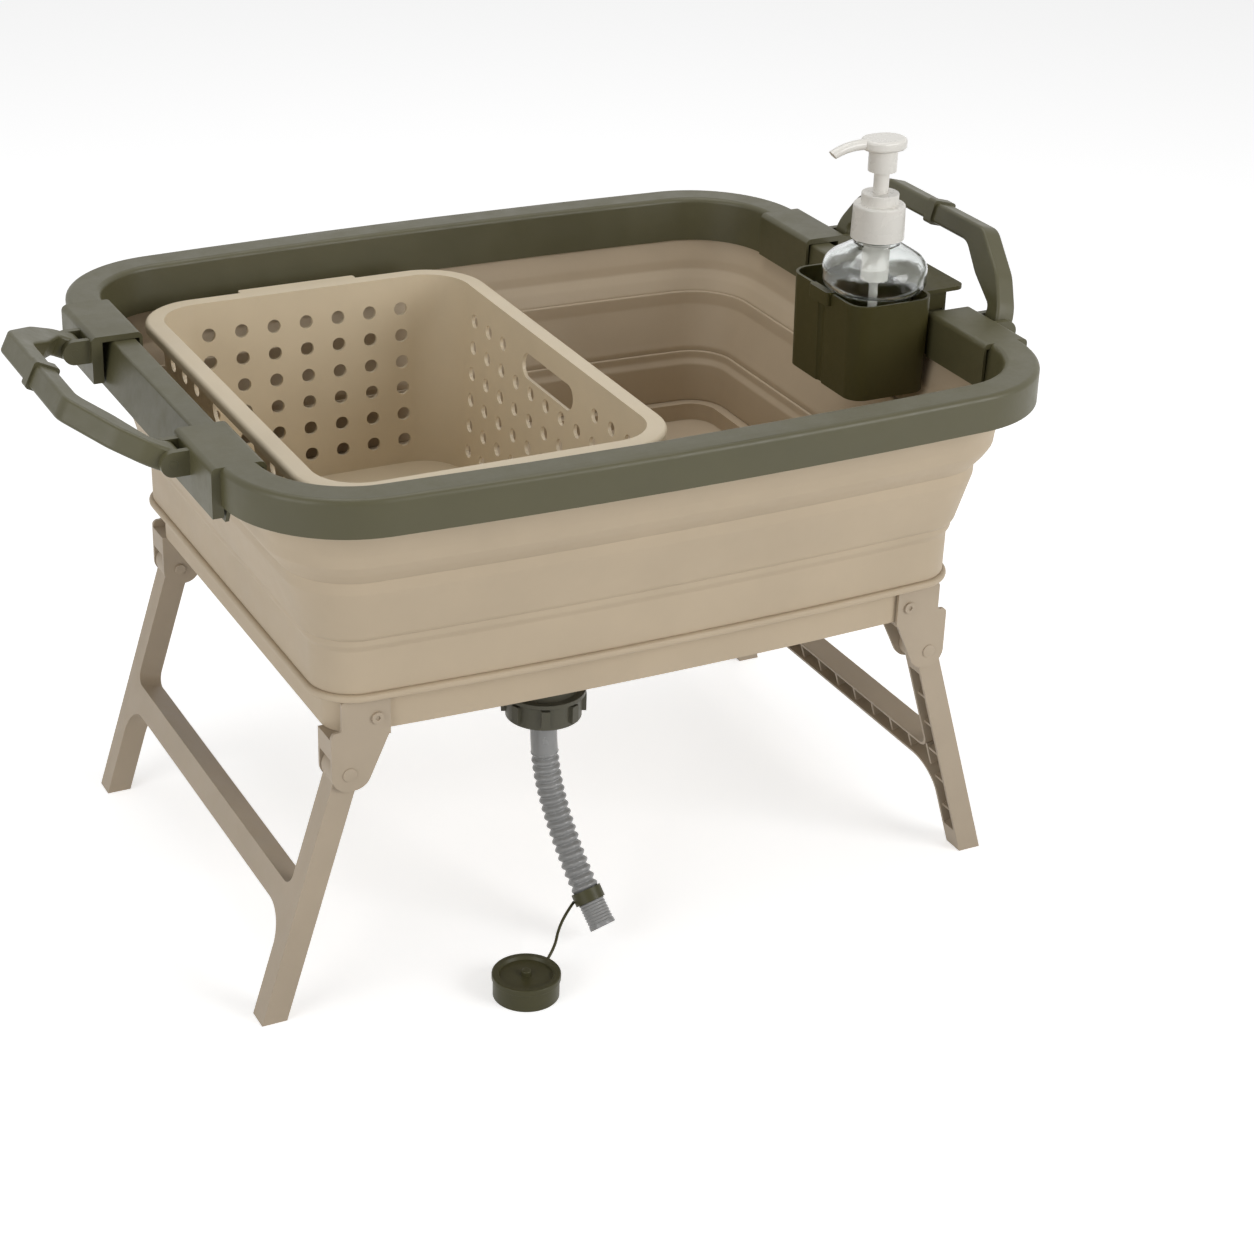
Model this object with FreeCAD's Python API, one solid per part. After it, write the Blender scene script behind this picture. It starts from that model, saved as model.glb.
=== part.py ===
"""Folding camp wash station: a stepped tub on two folding leg frames, with basket, soap cup and drain.

Millimetres. +X runs along the tub from the basket end to the soap end, +Y goes to the back,
+Z is up. The floor is z = 0 and the origin is the middle of the standing object.
"""
import FreeCAD, Part
import math
import os

V = FreeCAD.Vector
UP = V(0, 0, 1)
ALONG = V(1, 0, 0)
ACROSS = V(0, 1, 0)

# Overall tub
rim_half_length = 298.0
rim_half_width = 250.0
rim_corner_radius = 86.0
rim_bow = 6.0
rim_top_z = 405.0
rim_width = 25.0
rim_drop = 26.0
skirt_drop = 34.0
skirt_lean = 3.0
rim_wall = 2.6
rim_edge_radius = 4.0

# Soft wall, three tiers that slide inside one another when the tub folds
wall = 2.4
slip = 0.3
tier_top_inset = 21.4
tier_hem_inset = 22.6
upper_inset = 27.5
step_one_inset = 39.2
step_two_inset = 51.7
lower_inset = 55.0
upper_top_z = 384.0
upper_hem_z = 371.0
upper_knee_z = 346.0
step_one_z = 330.0
step_two_z = 283.0
seat_z = 243.0
step_rise = 8.5
lip_rise = 2.0

# Base pan
bead_height = 5.5
bead_inset = 52.0
apron_inset = 63.0
apron_bottom_z = 211.0
pan_floor_z = 229.0
pan_floor_thick = 3.0
pan_wall = 2.4
pan_rib_height = 9.0
pan_rib_pitch = 78.0

# Leg frames
pivot_x = 225.5
pivot_z = 183.0
foot_outer_x = 290.5
leg_depth = 17.4
leg_width = 18.0
leg_outer_y = 181.9
knuckle_radius = 12.0
leg_shell = 2.4
leg_floor = 2.6
crossbar_drop = 106.0
crossbar_height = 20.0
branch_radius_top = 10.0
branch_radius_low = 24.0
leg_rib_pitch = 27.0
foot_cap_height = 22.0
foot_cap_wall = 1.6

# Brackets, pins and screws
ear_thick = 2.6
ear_gap = 0.6
ear_inner_x = 196.0
ear_neck_z = 216.0
ear_end_radius = 12.5
bracket_top_thick = 2.6
pin_radius = 3.0
pin_play = 0.05
pin_head_radius = 5.0
pin_head_height = 1.8
screw_x = 205.5
screw_z = 222.0
screw_radius = 2.0
screw_head_radius = 4.2
screw_head_height = 1.6

# End bars, saddles and handles
saddle_outer_y = 160.0
saddle_inner_y = 88.0
saddle_proud = 6.0
saddle_wall = 2.2
bar_top_z = 400.5
bar_bottom_z = 368.0
bar_top_width = 17.0
bar_inset = 26.0
bar_foot_inset = 2.0
clamp_ring_inset = 4.0
clamp_ring_thick = 3.0
hub_y = 106.0
hub_radius = 8.5
hub_width = 16.0
hub_fillet_share = 0.4
hub_reach = 10.5
hub_z = 393.5
lug_thick = 5.0
grip_reach = 55.0
arm_free = 13.0
arm_elbow_reach = 37.0
arm_elbow_outer = 98.0
arm_elbow_inner = 72.0
arm_sweep = 30.0
grip_half_length = 66.0
grip_depth = 15.0
grip_height = 16.0
grip_collar_length = 9.0
grip_collar_proud = 1.8
handle_edge = 2.5
dimple_radius = 1.8
dimple_depth = 2.5
left_handle_raise = 26.0
right_handle_raise = 75.0

# Basket
basket_centre_x = -114.0
basket_half_x = 132.0
basket_half_y = 190.0
basket_top_z = 386.0
basket_taper_x = 18.0
basket_taper_y = 20.0
basket_corner = 46.0
basket_wall = 2.6
basket_lip = 11.0
basket_lip_height = 7.0
basket_hole_radius = 5.2
basket_hole_pitch = 25.5
basket_hole_rows = 6
basket_first_row_drop = 25.0
basket_row_pitch = 21.0
basket_slot_length = 84.0
basket_slot_height = 19.0
basket_slot_drop = 27.0
basket_tab_length = 92.0
basket_tab_reach = 6.0
basket_foot_height = 5.0
basket_foot_radius = 8.0
basket_foot_inset = 12.0
basket_foot_y = 100.0
basket_side_columns = 3
basket_end_columns = 5
basket_floor_columns = 2
basket_floor_stretch = 1.3

# Soap cup and bottle
cup_centre_y = -48.0
cup_inner_x = 200.0
cup_outer_x = 268.0
cup_length = 98.0
cup_top_z = 419.0
cup_height = 72.0
cup_wall = 2.2
cup_corner = 15.0
cup_taper = 1.5
cup_bar_taper = 1.5
cup_flange_thick = 3.0
cup_flange_reach = 302.0
cup_groove_radius = 6.0
cup_clip_length = 26.0
cup_groove_offset = 0.0
cup_flange_half = 33.0
cup_clip_height = 9.0
cup_clip_proud = 4.0
bottle_radius = 29.5
bottle_wall = 1.6
bottle_waist_z = 420.5
bottle_bulge_radius = 38.0
bottle_bulge_low_z = 423.0
bottle_bulge_top_z = 442.0
bottle_neck_z = 455.0
bottle_neck_radius = 16.5
bottle_front_gap = 0.6
collar_bottom_z = 459.0
collar_radius = 19.5
collar_height = 25.0
collar_step_radius = 13.6
collar_step_height = 8.0
pump_stem_radius = 5.6
pump_body_radius = 10.0
pump_body_wall = 1.4
pump_body_length = 52.0
pump_stroke = 15.0
pump_rest_gap = 1.0
pump_flange_thick = 2.4
pump_chamber_share = 0.55
pump_head_height = 8.0
pump_head_length = 34.0
pump_head_width = 27.0
pump_skirt_radius = 10.4
pump_skirt_height = 16.0
nozzle_reach = 42.0
nozzle_radius = 4.6
nozzle_droop = 4.5
spring_radius = 5.5
spring_wire = 0.9
dip_tube_radius = 3.2
dip_tube_wall = 0.8
dip_tube_gap = 6.0

# Drain
drain_x = -58.0
drain_y = -130.0
drain_flange_radius = 33.0
drain_flange_thick = 2.4
drain_neck_radius = 24.0
drain_bore_radius = 20.5
drain_bottom_z = 184.0
drain_ring_radius = 29.5
drain_ring_height = 3.0
locknut_radius = 31.0
locknut_height = 9.0
gasket_thick = 2.0
strainer_radius = 19.0
strainer_thick = 1.6
strainer_hole_radius = 2.2
strainer_ring_shares = ((0.42, 6), (0.78, 12))
hose_nut_radius = 27.0
hose_nut_height = 16.0
hose_nut_lug = 3.0
hose_nut_lugs = 8
seal_thick = 1.5

# Hose, strap, tether and cap
hose_radius = 10.0
hose_bore_radius = 7.6
hose_root_radius = 8.9
hose_cuff_radius = 9.6
hose_rib_pitch = 5.2
rib_shares = ((0, hose_root_radius), (0.25, hose_radius), (0.6, hose_radius), (0.85, hose_root_radius))
strap_length = 9.0
strap_thick = 1.0
tether_radius = 1.1
cap_radius = 24.2
cap_height = 17.5
cap_wall = 2.2
cap_dish = 2.2
cap_rim_proud = 0.9
cap_knob_radius = 3.4
cap_knob_height = 4.0
cap_x = -110.5
cap_y = -219.0

# Storage latches on the back of the rim
latch_x = 128.0
latch_width = 62.0
latch_length = 44.0
latch_thick = 3.0
latch_hook = 3.0
latch_z = 397.0
latch_barrel_radius = 3.4
latch_pin_radius = 1.5
latch_lug_length = 5.0
catch_width = 50.0
catch_thick = 3.0
catch_arm_z = 200.0
catch_top_z = 233.0

overrun = 1.0
hair = 0.05

# Routes chosen by hand, centre line points
hose_route = [V(-58, -130, 168), V(-57.6, -130, 146), V(-56, -132, 122), V(-52.3, -137, 97),
              V(-47.3, -150, 68), V(-41.5, -168, 40), V(-35.6, -188, 17)]
tether_route = [V(-50.3, -169.6, 30.3), V(-61.3, -179.8, 30.0), V(-72.5, -190.3, 24.9),
                V(-81.3, -203.6, 21.0), V(-88.8, -207.6, 15.3)]


def rounded(points, radii):
    """Closed wire through points in one plane, each corner rounded by its own radius."""
    count = len(points)
    ends = []
    for i, p in enumerate(points):
        before = (points[i - 1] - p).normalize()
        after = (points[(i + 1) % count] - p).normalize()
        half = before.getAngle(after) / 2
        r = radii[i]
        if r == 0:
            ends.append((p, p, p))
            continue
        back = r / math.tan(half)
        middle = p + (before + after).normalize() * (r / math.sin(half) - r)
        ends.append((p + before * back, middle, p + after * back))
    edges = []
    for i in range(count):
        start, middle, end = ends[i]
        nxt = ends[(i + 1) % count][0]
        if (end - start).Length > hair / 100:
            edges.append(Part.Arc(start, middle, end).toShape())
        if (nxt - end).Length > hair / 100:
            edges.append(Part.LineSegment(end, nxt).toShape())
    return Part.Wire(edges)


def prism(points, radii, direction):
    return Part.Face(rounded(points, radii)).extrude(direction)


def box(x0, x1, y0, y1, z0, z1):
    return Part.makeBox(x1 - x0, y1 - y0, z1 - z0, V(x0, y0, z0))


def rod(radius, start, end):
    return Part.makeCylinder(radius, (end - start).Length, start, end - start)


def pipe(outer, inner, start, end):
    reach = (end - start).normalize() * overrun
    return rod(outer, start, end).cut(rod(inner, start - reach, end + reach))


def lathe(points, radii, centre):
    """Solid of revolution about a vertical line: points are (radius, height)."""
    flat = [V(centre.x + r, centre.y, z) for r, z in points]
    return Part.Face(rounded(flat, radii)).revolve(V(centre.x, centre.y, 0), UP, 360)


def join(first, *others):
    return first.fuse(list(others)).removeSplitter()


def mirrored(shape, across_x, across_y):
    if across_x:
        shape = shape.mirror(V(0, 0, 0), ALONG)
    if across_y:
        shape = shape.mirror(V(0, 0, 0), ACROSS)
    return shape


# The rim outline: straight ends, round corners and long sides that bow out.
corner_x = rim_half_length - rim_corner_radius
bow_radius = (corner_x ** 2 + rim_bow ** 2) / (2 * rim_bow)
bow_y = rim_half_width - bow_radius
corner_y = bow_y + math.sqrt((bow_radius - rim_corner_radius) ** 2 - corner_x ** 2)
corner_turn = math.degrees(math.atan2(corner_y - bow_y, corner_x))


def side_y(inset, x):
    """Half width of the outline, inset inwards, at a place x along the long side."""
    if abs(x) <= corner_x:
        return bow_y + math.sqrt((bow_radius - inset) ** 2 - x ** 2)
    return corner_y + math.sqrt((rim_corner_radius - inset) ** 2 - (abs(x) - corner_x) ** 2)


def band(profile, radii):
    """A closed band round the tub: a profile of (inset, height) carried along the rim outline."""
    flat = [V(rim_half_length - inset, corner_y, z) for inset, z in profile]
    face = Part.Face(rounded(flat, radii))
    end = face.extrude(V(0, -2 * corner_y, 0))
    pole = V(corner_x, corner_y, 0)
    corner = face.revolve(pole, UP, corner_turn)
    start = face.copy()
    start.rotate(pole, UP, corner_turn)
    side = start.revolve(V(0, bow_y, 0), UP, 180 - 2 * corner_turn)
    half = [end, corner, side, corner.mirror(V(0, 0, 0), ALONG)]
    other = [mirrored(piece, True, True) for piece in half]
    return join(half[0], *(half[1:] + other))


def slab(inset, low, high):
    """The outline, inset inwards, filled in as a flat plate."""
    across = rim_half_length - inset
    r = rim_corner_radius - inset
    turn = math.radians(corner_turn)
    mid = turn / 2
    tip = V(corner_x + r * math.cos(turn), corner_y + r * math.sin(turn), low)
    knee = V(corner_x + r * math.cos(mid), corner_y + r * math.sin(mid), low)
    foot = V(across, corner_y, low)
    top = V(0, rim_half_width - inset, low)

    def at(p, sx, sy):
        return V(p.x * sx, p.y * sy, p.z)

    edges = [Part.LineSegment(at(foot, 1, -1), at(foot, 1, 1)),
             Part.Arc(at(foot, 1, 1), at(knee, 1, 1), at(tip, 1, 1)),
             Part.Arc(at(tip, 1, 1), at(top, 1, 1), at(tip, -1, 1)),
             Part.Arc(at(tip, -1, 1), at(knee, -1, 1), at(foot, -1, 1)),
             Part.LineSegment(at(foot, -1, 1), at(foot, -1, -1)),
             Part.Arc(at(foot, -1, -1), at(knee, -1, -1), at(tip, -1, -1)),
             Part.Arc(at(tip, -1, -1), at(top, 1, -1), at(tip, 1, -1)),
             Part.Arc(at(tip, 1, -1), at(knee, 1, -1), at(foot, 1, -1))]
    return Part.Face(Part.Wire([e.toShape() for e in edges])).extrude(V(0, 0, high - low))


def rounded_box(x0, x1, y0, y1, r, z):
    """A level rounded rectangle wire."""
    return rounded([V(x0, y0, z), V(x1, y0, z), V(x1, y1, z), V(x0, y1, z)], [r] * 4)


def loft(*wires):
    return Part.makeLoft(list(wires), True, True)


def soft_wall(outer, rise):
    """A tier of the wall: its outer line from the top down, thickened inwards."""
    inner = [(inset + wall, z + lift) for (inset, z), lift in zip(outer, rise)]
    inner[-1] = (outer[-1][0], outer[-1][1] + wall)
    profile = outer + inner[::-1]
    return band(profile, [0] * len(profile))


def make_upper_wall():
    run = step_one_inset - upper_inset
    slope_z = step_one_z + step_rise
    outer = [(tier_top_inset, upper_top_z), (tier_hem_inset, upper_hem_z),
             (upper_inset - slip * 3, upper_knee_z + step_rise), (upper_inset, upper_knee_z),
             (upper_inset + run * 0.4, slope_z), (step_one_inset, step_one_z)]
    return soft_wall(outer, [0, 0, 0, wall / 2, wall, wall])


def make_middle_wall():
    top = step_one_inset + slip
    run = step_two_inset - top
    outer = [(top, step_one_z + lip_rise), (top, step_one_z - step_rise),
             (top + run * 0.7, step_two_z + step_rise), (top + run * 0.82, step_two_z + lip_rise * 1.5),
             (step_two_inset, step_two_z)]
    return soft_wall(outer, [0, 0, wall / 2, wall, wall])


def make_lower_wall():
    top = step_two_inset + slip
    outer = [(top, step_two_z + lip_rise), (top, step_two_z - lip_rise * 2),
             (lower_inset - slip, step_two_z - step_rise), (lower_inset, seat_z)]
    inner = [(inset + wall, z) for inset, z in outer]
    return band(outer + inner[::-1], [0] * (2 * len(outer)))


# Places that several pieces share
splay = math.atan2(foot_outer_x - leg_depth / 2 - pivot_x, pivot_z)
splay_angle = math.degrees(splay)
leg_length = pivot_z / math.cos(splay)
leg_inner_y = leg_outer_y - leg_width
ear_outer_y0 = leg_outer_y + ear_gap
ear_outer_y1 = ear_outer_y0 + ear_thick
ear_inner_y1 = leg_inner_y - ear_gap
ear_inner_y0 = ear_inner_y1 - ear_thick
end_x = rim_half_length
bar_inner_x = end_x - bar_inset
bar_outer_x = bar_inner_x + bar_top_width
saddle_outer_x = end_x + saddle_proud
hub_x = saddle_outer_x + hub_reach
skirt_z = rim_top_z - skirt_drop
pan_under_z = pan_floor_z - pan_floor_thick
bead_bottom_z = seat_z - bead_height


def make_rim_shell():
    """Channel rim, open below, with a lower and narrower grab bar across each end."""
    foot = rim_width + skirt_lean
    under = rim_top_z - rim_wall
    profile = [(0, rim_top_z - rim_drop), (0, rim_top_z), (rim_width, rim_top_z), (foot, skirt_z),
               (foot - rim_wall, skirt_z), (rim_width - rim_wall, under), (rim_wall, under),
               (rim_wall, rim_top_z - rim_drop)]
    r = rim_edge_radius
    ring = band(profile, [0, r, r, 0, 0, r - rim_wall, r - rim_wall, 0])
    for side in (-1, 1):
        inner = end_x - foot - overrun
        gap = box(inner, end_x + overrun, -saddle_outer_y, saddle_outer_y,
                  skirt_z - overrun, rim_top_z + overrun)
        ring = ring.cut(mirrored(gap, side < 0, False))
    bars = [mirrored(make_end_bar(), side < 0, False) for side in (-1, 1)]
    lugs = [mirrored(lug, side < 0, False) for side in (-1, 1) for lug in latch_lugs()]
    rim = join(ring, *(bars + lugs))
    pins = [mirrored(latch_hole(), side < 0, False) for side in (-1, 1)]
    return rim.cut(Part.makeCompound(pins))


def make_end_bar():
    foot_x = bar_inner_x - lip_rise
    low_x = end_x - bar_foot_inset
    top_in = bar_inner_x + rim_wall
    top_out = bar_outer_x - rim_wall
    half = saddle_outer_y
    points = [V(foot_x, -half, skirt_z), V(bar_inner_x, -half, bar_top_z), V(bar_outer_x, -half, bar_top_z),
              V(low_x, -half, bar_bottom_z), V(low_x - rim_wall, -half, bar_bottom_z),
              V(top_out, -half, bar_top_z - rim_wall), V(top_in, -half, bar_top_z - rim_wall),
              V(foot_x + rim_wall, -half, skirt_z)]
    radii = [0, lip_rise, lip_rise, 0, 0, 0, 0, 0]
    bar = prism(points, radii, V(0, 2 * half, 0))
    web_low = upper_top_z + slip
    deep = rim_wall / 2
    webs = []
    for side in (-1, 1):
        x0 = end_x - rim_width + deep
        x1 = end_x - deep
        top = rim_top_z - deep
        corners = [V(x0, 0, top), V(x1, 0, top), V(x1, 0, web_low), V(x0 - lip_rise / 2, 0, web_low)]
        web = prism(corners, [rim_edge_radius - deep, rim_edge_radius - deep, 0, 0], V(0, rim_wall, 0))
        web.translate(V(0, saddle_outer_y if side > 0 else -saddle_outer_y - rim_wall, 0))
        webs.append(web)
    return join(bar, *webs)


def make_clamp_ring():
    """Ring in the rim channel that grips the top hem of the soft wall, in a front and a back length."""
    z = upper_top_z - clamp_ring_thick
    inner = tier_top_inset - slip
    ring = band([(clamp_ring_inset, z), (inner, z), (inner, z - clamp_ring_thick),
                 (clamp_ring_inset, z - clamp_ring_thick)], [0] * 4)
    reach = end_x + overrun
    half = saddle_outer_y + slip
    return ring.cut(box(-reach, reach, -half, half, z - 2 * clamp_ring_thick, z + overrun))


def make_saddle():
    """Handle housing that caps the end bar, with two lugs for the handle pin. Front right one."""
    inner_x = bar_inner_x - lip_rise - slip - saddle_wall
    low = skirt_z
    block = prism([V(inner_x, -saddle_outer_y, low), V(inner_x, -saddle_outer_y, rim_top_z),
                   V(saddle_outer_x, -saddle_outer_y, rim_top_z), V(saddle_outer_x, -saddle_outer_y, low)],
                  [0, rim_edge_radius, rim_edge_radius, 0], V(0, saddle_outer_y - saddle_inner_y, 0))
    block = block.cut(box(inner_x + saddle_wall, end_x - bar_foot_inset + slip, -saddle_outer_y - overrun,
                          -saddle_inner_y + overrun, low - overrun, bar_top_z + slip))
    lugs = []
    for side in (-1, 1):
        y = -hub_y + side * (hub_width / 2 + slip)
        y0 = y if side > 0 else y - lug_thick
        lug = rod(hub_radius, V(hub_x, y0, hub_z), V(hub_x, y0 + lug_thick, hub_z))
        arm = box(saddle_outer_x - saddle_wall, hub_x, y0, y0 + lug_thick,
                  hub_z - hub_radius, hub_z + hub_radius)
        lugs.append(lug.fuse(arm))
    saddle = join(block, *lugs)
    return saddle.cut(rod(pin_radius + pin_play, V(hub_x, -hub_y - hub_width, hub_z),
                          V(hub_x, -hub_y + hub_width, hub_z)))


def make_handle_pin():
    half = hub_width / 2 + slip + lug_thick
    return rod(pin_radius, V(hub_x, -hub_y - half, hub_z), V(hub_x, -hub_y + half, hub_z))


def make_handle(raise_angle):
    """Bail handle on the right end: a curved flat outline with a straight grip, hubs on the pin line."""
    half_hub = hub_width / 2
    grip_out = grip_reach + grip_depth / 2
    grip_in = grip_reach - grip_depth / 2
    outer = [(0, hub_y + half_hub), (arm_free, hub_y + half_hub), (arm_elbow_reach, arm_elbow_outer),
             (grip_out, grip_half_length)]
    inner = [(0, hub_y - half_hub), (arm_free, hub_y - half_hub),
             (arm_elbow_reach - half_hub, arm_elbow_inner), (grip_in, grip_half_length - grip_depth)]
    outer_radii = [0, arm_sweep, arm_sweep, hub_width]
    inner_radii = [0, hub_width * hub_fillet_share, arm_sweep, hub_width]
    right = outer + [(p, -y) for p, y in outer[::-1]]
    left = inner + [(p, -y) for p, y in inner[::-1]]
    z0 = hub_z - grip_height / 2
    points = [V(hub_x + p, y, z0) for p, y in right + left[::-1]]
    radii = outer_radii + outer_radii[::-1] + inner_radii + inner_radii[::-1]
    bail = prism(points, radii, V(0, 0, grip_height))
    rails = [e for e in bail.Edges if not is_upright(e) and not near_hub(e)]
    bail = bail.makeFillet(handle_edge, rails)
    hubs = [rod(hub_radius, V(hub_x, side * hub_y - half_hub, hub_z),
                V(hub_x, side * hub_y + half_hub, hub_z)) for side in (-1, 1)]
    proud = grip_collar_proud
    x0 = hub_x + grip_in - proud
    x1 = hub_x + grip_out + proud
    y0 = -grip_collar_length / 2
    z1 = z0 + grip_height + proud
    corners = [V(x0, y0, z0 - proud), V(x1, y0, z0 - proud), V(x1, y0, z1), V(x0, y0, z1)]
    ring = prism(corners, [handle_edge] * 4, V(0, grip_collar_length, 0))
    handle = join(bail, ring, *hubs)
    bores = [rod(pin_radius + pin_play, V(hub_x, side * hub_y - hub_width, hub_z),
                 V(hub_x, side * hub_y + hub_width, hub_z)) for side in (-1, 1)]
    face_x = hub_x + grip_in
    for share in dimple_shares:
        y = share * grip_half_length
        bores.append(rod(dimple_radius, V(face_x - overrun, y, hub_z), V(face_x + dimple_depth, y, hub_z)))
    handle = handle.cut(Part.makeCompound(bores))
    handle.rotate(V(hub_x, 0, hub_z), V(0, -1, 0), raise_angle)
    return handle


dimple_shares = (-0.62, -0.28, 0.28, 0.62)


def is_upright(edge):
    return edge.BoundBox.ZLength > hair


def near_hub(edge):
    """The two straight stretches that lie against the hubs stay square."""
    return edge.BoundBox.XMin < hub_x + hair


def latch_seat():
    """Where a latch hangs: the furthest that the bowed rim reaches out behind it."""
    return side_y(0, latch_x - latch_width / 2) + slip


def latch_axis_y():
    return latch_seat() + latch_barrel_radius


def latch_lugs():
    """Two lugs on the back of the rim, one at each end of the right latch."""
    lugs = []
    half = latch_width / 2
    y = latch_axis_y()
    r = latch_barrel_radius
    root = side_y(0, latch_x + half + latch_lug_length) - rim_wall / 2
    for x in (latch_x - half - slip - latch_lug_length, latch_x + half + slip):
        eye = rod(r, V(x, y, latch_z), V(x + latch_lug_length, y, latch_z))
        arm = box(x, x + latch_lug_length, root, y, latch_z - r, latch_z + r)
        lugs.append(eye.fuse(arm))
    return lugs


def latch_hole():
    half = latch_width / 2 + slip + latch_lug_length + overrun
    return latch_rod(latch_pin_radius + pin_play, half)


def latch_rod(radius, half):
    y = latch_axis_y()
    return rod(radius, V(latch_x - half, y, latch_z), V(latch_x + half, y, latch_z))


def make_latch_pin():
    return latch_rod(latch_pin_radius, latch_width / 2 + slip + latch_lug_length)


def make_latch():
    """Right latch: a plate on a barrel that hangs down the back of the rim, with a hook at its foot."""
    half = latch_width / 2
    y = latch_axis_y()
    r = latch_barrel_radius
    barrel = latch_rod(r, half)
    out = y + r
    face = out - latch_thick
    low = latch_z - latch_length
    points = [V(0, face, latch_z), V(0, out, latch_z), V(0, out, low), V(0, face - latch_hook, low),
              V(0, face - latch_hook, low + latch_thick * 0.6), V(0, face, low + latch_thick * 1.6)]
    plate = prism(points, [0, 0, latch_thick * 0.6, 0, 0, lip_rise], V(latch_width, 0, 0))
    plate.translate(V(latch_x - half, 0, 0))
    return join(barrel, plate).cut(latch_hole())


def make_catch():
    """Right catch: an arm from the back of the pan, out below the folded wall and up behind the rim."""
    half = catch_width / 2
    seat = side_y(apron_inset, latch_x - half) + slip
    lip = latch_axis_y() + latch_barrel_radius - latch_thick - latch_hook - slip * 2
    t = catch_thick
    arm = catch_arm_z
    points = [V(0, seat, arm), V(0, lip, arm), V(0, lip, catch_top_z), V(0, lip - t, catch_top_z),
              V(0, lip - t, arm + t), V(0, seat + t, arm + t), V(0, seat + t, bead_bottom_z - slip),
              V(0, seat, bead_bottom_z - slip)]
    catch = prism(points, [lip_rise * 2, lip_rise * 2, 0, lip_rise / 2, lip_rise, lip_rise, 0, 0],
                  V(catch_width, 0, 0))
    catch.translate(V(latch_x - half, 0, 0))
    return catch


def make_base_pan():
    """Floor plate, apron and the bead that the wall stands on, with ribs and the drain hole."""
    apron_in = apron_inset + pan_wall
    profile = [(bead_inset, bead_bottom_z), (bead_inset, seat_z), (apron_in, seat_z),
               (apron_in, apron_bottom_z), (apron_inset, apron_bottom_z), (apron_inset, bead_bottom_z)]
    r = bead_height * 0.45
    frame = band(profile, [r, r, 0, 0, 0, 0])
    floor = slab(apron_inset + pan_wall / 2, pan_under_z, pan_floor_z)
    rib_low = pan_under_z - pan_rib_height
    ribs = []
    inner = side_y(apron_inset + pan_wall / 2, 0) - rim_bow
    count = int(corner_x // pan_rib_pitch)
    for i in range(-count, count + 1):
        x = (i + 0.5) * pan_rib_pitch
        if abs(x) < corner_x:
            ribs.append(box(x, x + pan_wall, -inner, inner, rib_low, pan_under_z + hair))
    reach = end_x - apron_inset - pan_wall / 2
    ribs.append(box(-reach, reach, -pan_wall / 2, pan_wall / 2, rib_low, pan_under_z + hair))
    pan = join(frame, floor, *ribs)
    centre = V(drain_x, drain_y, 0)
    pan = pan.cut(rod(locknut_radius + slip, centre + UP * (rib_low - overrun), centre + UP * pan_under_z))
    pan = pan.cut(rod(drain_neck_radius + slip, centre + UP * rib_low, centre + UP * (pan_floor_z + overrun)))
    holes = []
    for sx in (-1, 1):
        for sy in (-1, 1):
            start = V(sx * screw_x, sy * ear_inner_y1, screw_z)
            end = V(sx * screw_x, sy * (ear_outer_y1 + overrun), screw_z)
            holes.append(rod(screw_radius + pin_play, start, end))
    return pan.cut(Part.makeCompound(holes))


def ear(y0, top_z):
    """Side plate of a bracket: upright at the outer end, slanting in to a round end at the pivot."""
    outer_x = pivot_x + ear_end_radius
    shoulder = outer_x - ear_end_radius * 0.6
    low = pivot_z - ear_end_radius
    points = [V(ear_inner_x, y0, top_z), V(shoulder, y0, top_z), V(shoulder, y0, ear_neck_z),
              V(outer_x, y0, ear_neck_z), V(outer_x, y0, low), V(pivot_x - ear_end_radius * 0.9, y0, low),
              V(ear_inner_x, y0, apron_bottom_z)]
    if top_z <= ear_neck_z:
        points = [V(ear_inner_x, y0, top_z), V(outer_x, y0, top_z)] + points[4:6] + \
                 [V(ear_inner_x, y0, top_z - bracket_top_thick)]
        radii = [0, 0, ear_end_radius, ear_end_radius, 0]
    else:
        radii = [lip_rise, lip_rise, lip_rise, lip_rise * 2, ear_end_radius, ear_end_radius, lip_rise * 3]
    return prism(points, radii, V(0, ear_thick, 0))


def make_bracket():
    """Leg bracket at the back right: two ears with a bridge between them under the apron."""
    bridge_z = apron_bottom_z - slip
    front = ear(ear_outer_y0, bead_bottom_z - slip)
    back = ear(ear_inner_y0, bridge_z)
    bridge = box(ear_inner_x, pivot_x + ear_end_radius - hair, ear_inner_y0, ear_outer_y1 - hair,
                 bridge_z - bracket_top_thick, bridge_z)
    web_x = pivot_x + ear_end_radius
    web = box(web_x - ear_thick, web_x, ear_inner_y0, ear_outer_y1 - hair,
              pivot_z + knuckle_radius + ear_gap, bridge_z)
    bracket = join(front, back, bridge, web)
    outside = ear_outer_y1 + overrun
    pin_hole = rod(pin_radius + pin_play, V(pivot_x, ear_inner_y0 - overrun, pivot_z),
                   V(pivot_x, outside, pivot_z))
    screw_hole = rod(screw_radius + pin_play, V(screw_x, ear_outer_y0 - overrun, screw_z),
                     V(screw_x, outside, screw_z))
    return bracket.cut(Part.makeCompound([pin_hole, screw_hole]))


def make_leg_pin():
    """Pivot pin with a domed head outside and a spread end inside. Back right one."""
    start = V(pivot_x, ear_inner_y0 - pin_head_height, pivot_z)
    end = V(pivot_x, ear_outer_y1, pivot_z)
    shaft = rod(pin_radius, start, end + ACROSS * hair)
    dome = [V(0, 0, 0), V(pin_head_radius, 0, 0), V(pin_head_radius, pin_head_height * 0.45, 0),
            V(0, pin_head_height, 0)]
    face = Part.Face(rounded(dome, [0, 0, pin_head_height * 0.4, 0]))
    head = face.revolve(V(0, 0, 0), ACROSS, 360)
    head.translate(end)
    tail = rod(pin_head_radius * 0.8, start, start + ACROSS * pin_head_height)
    return join(shaft, head, tail)


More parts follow.
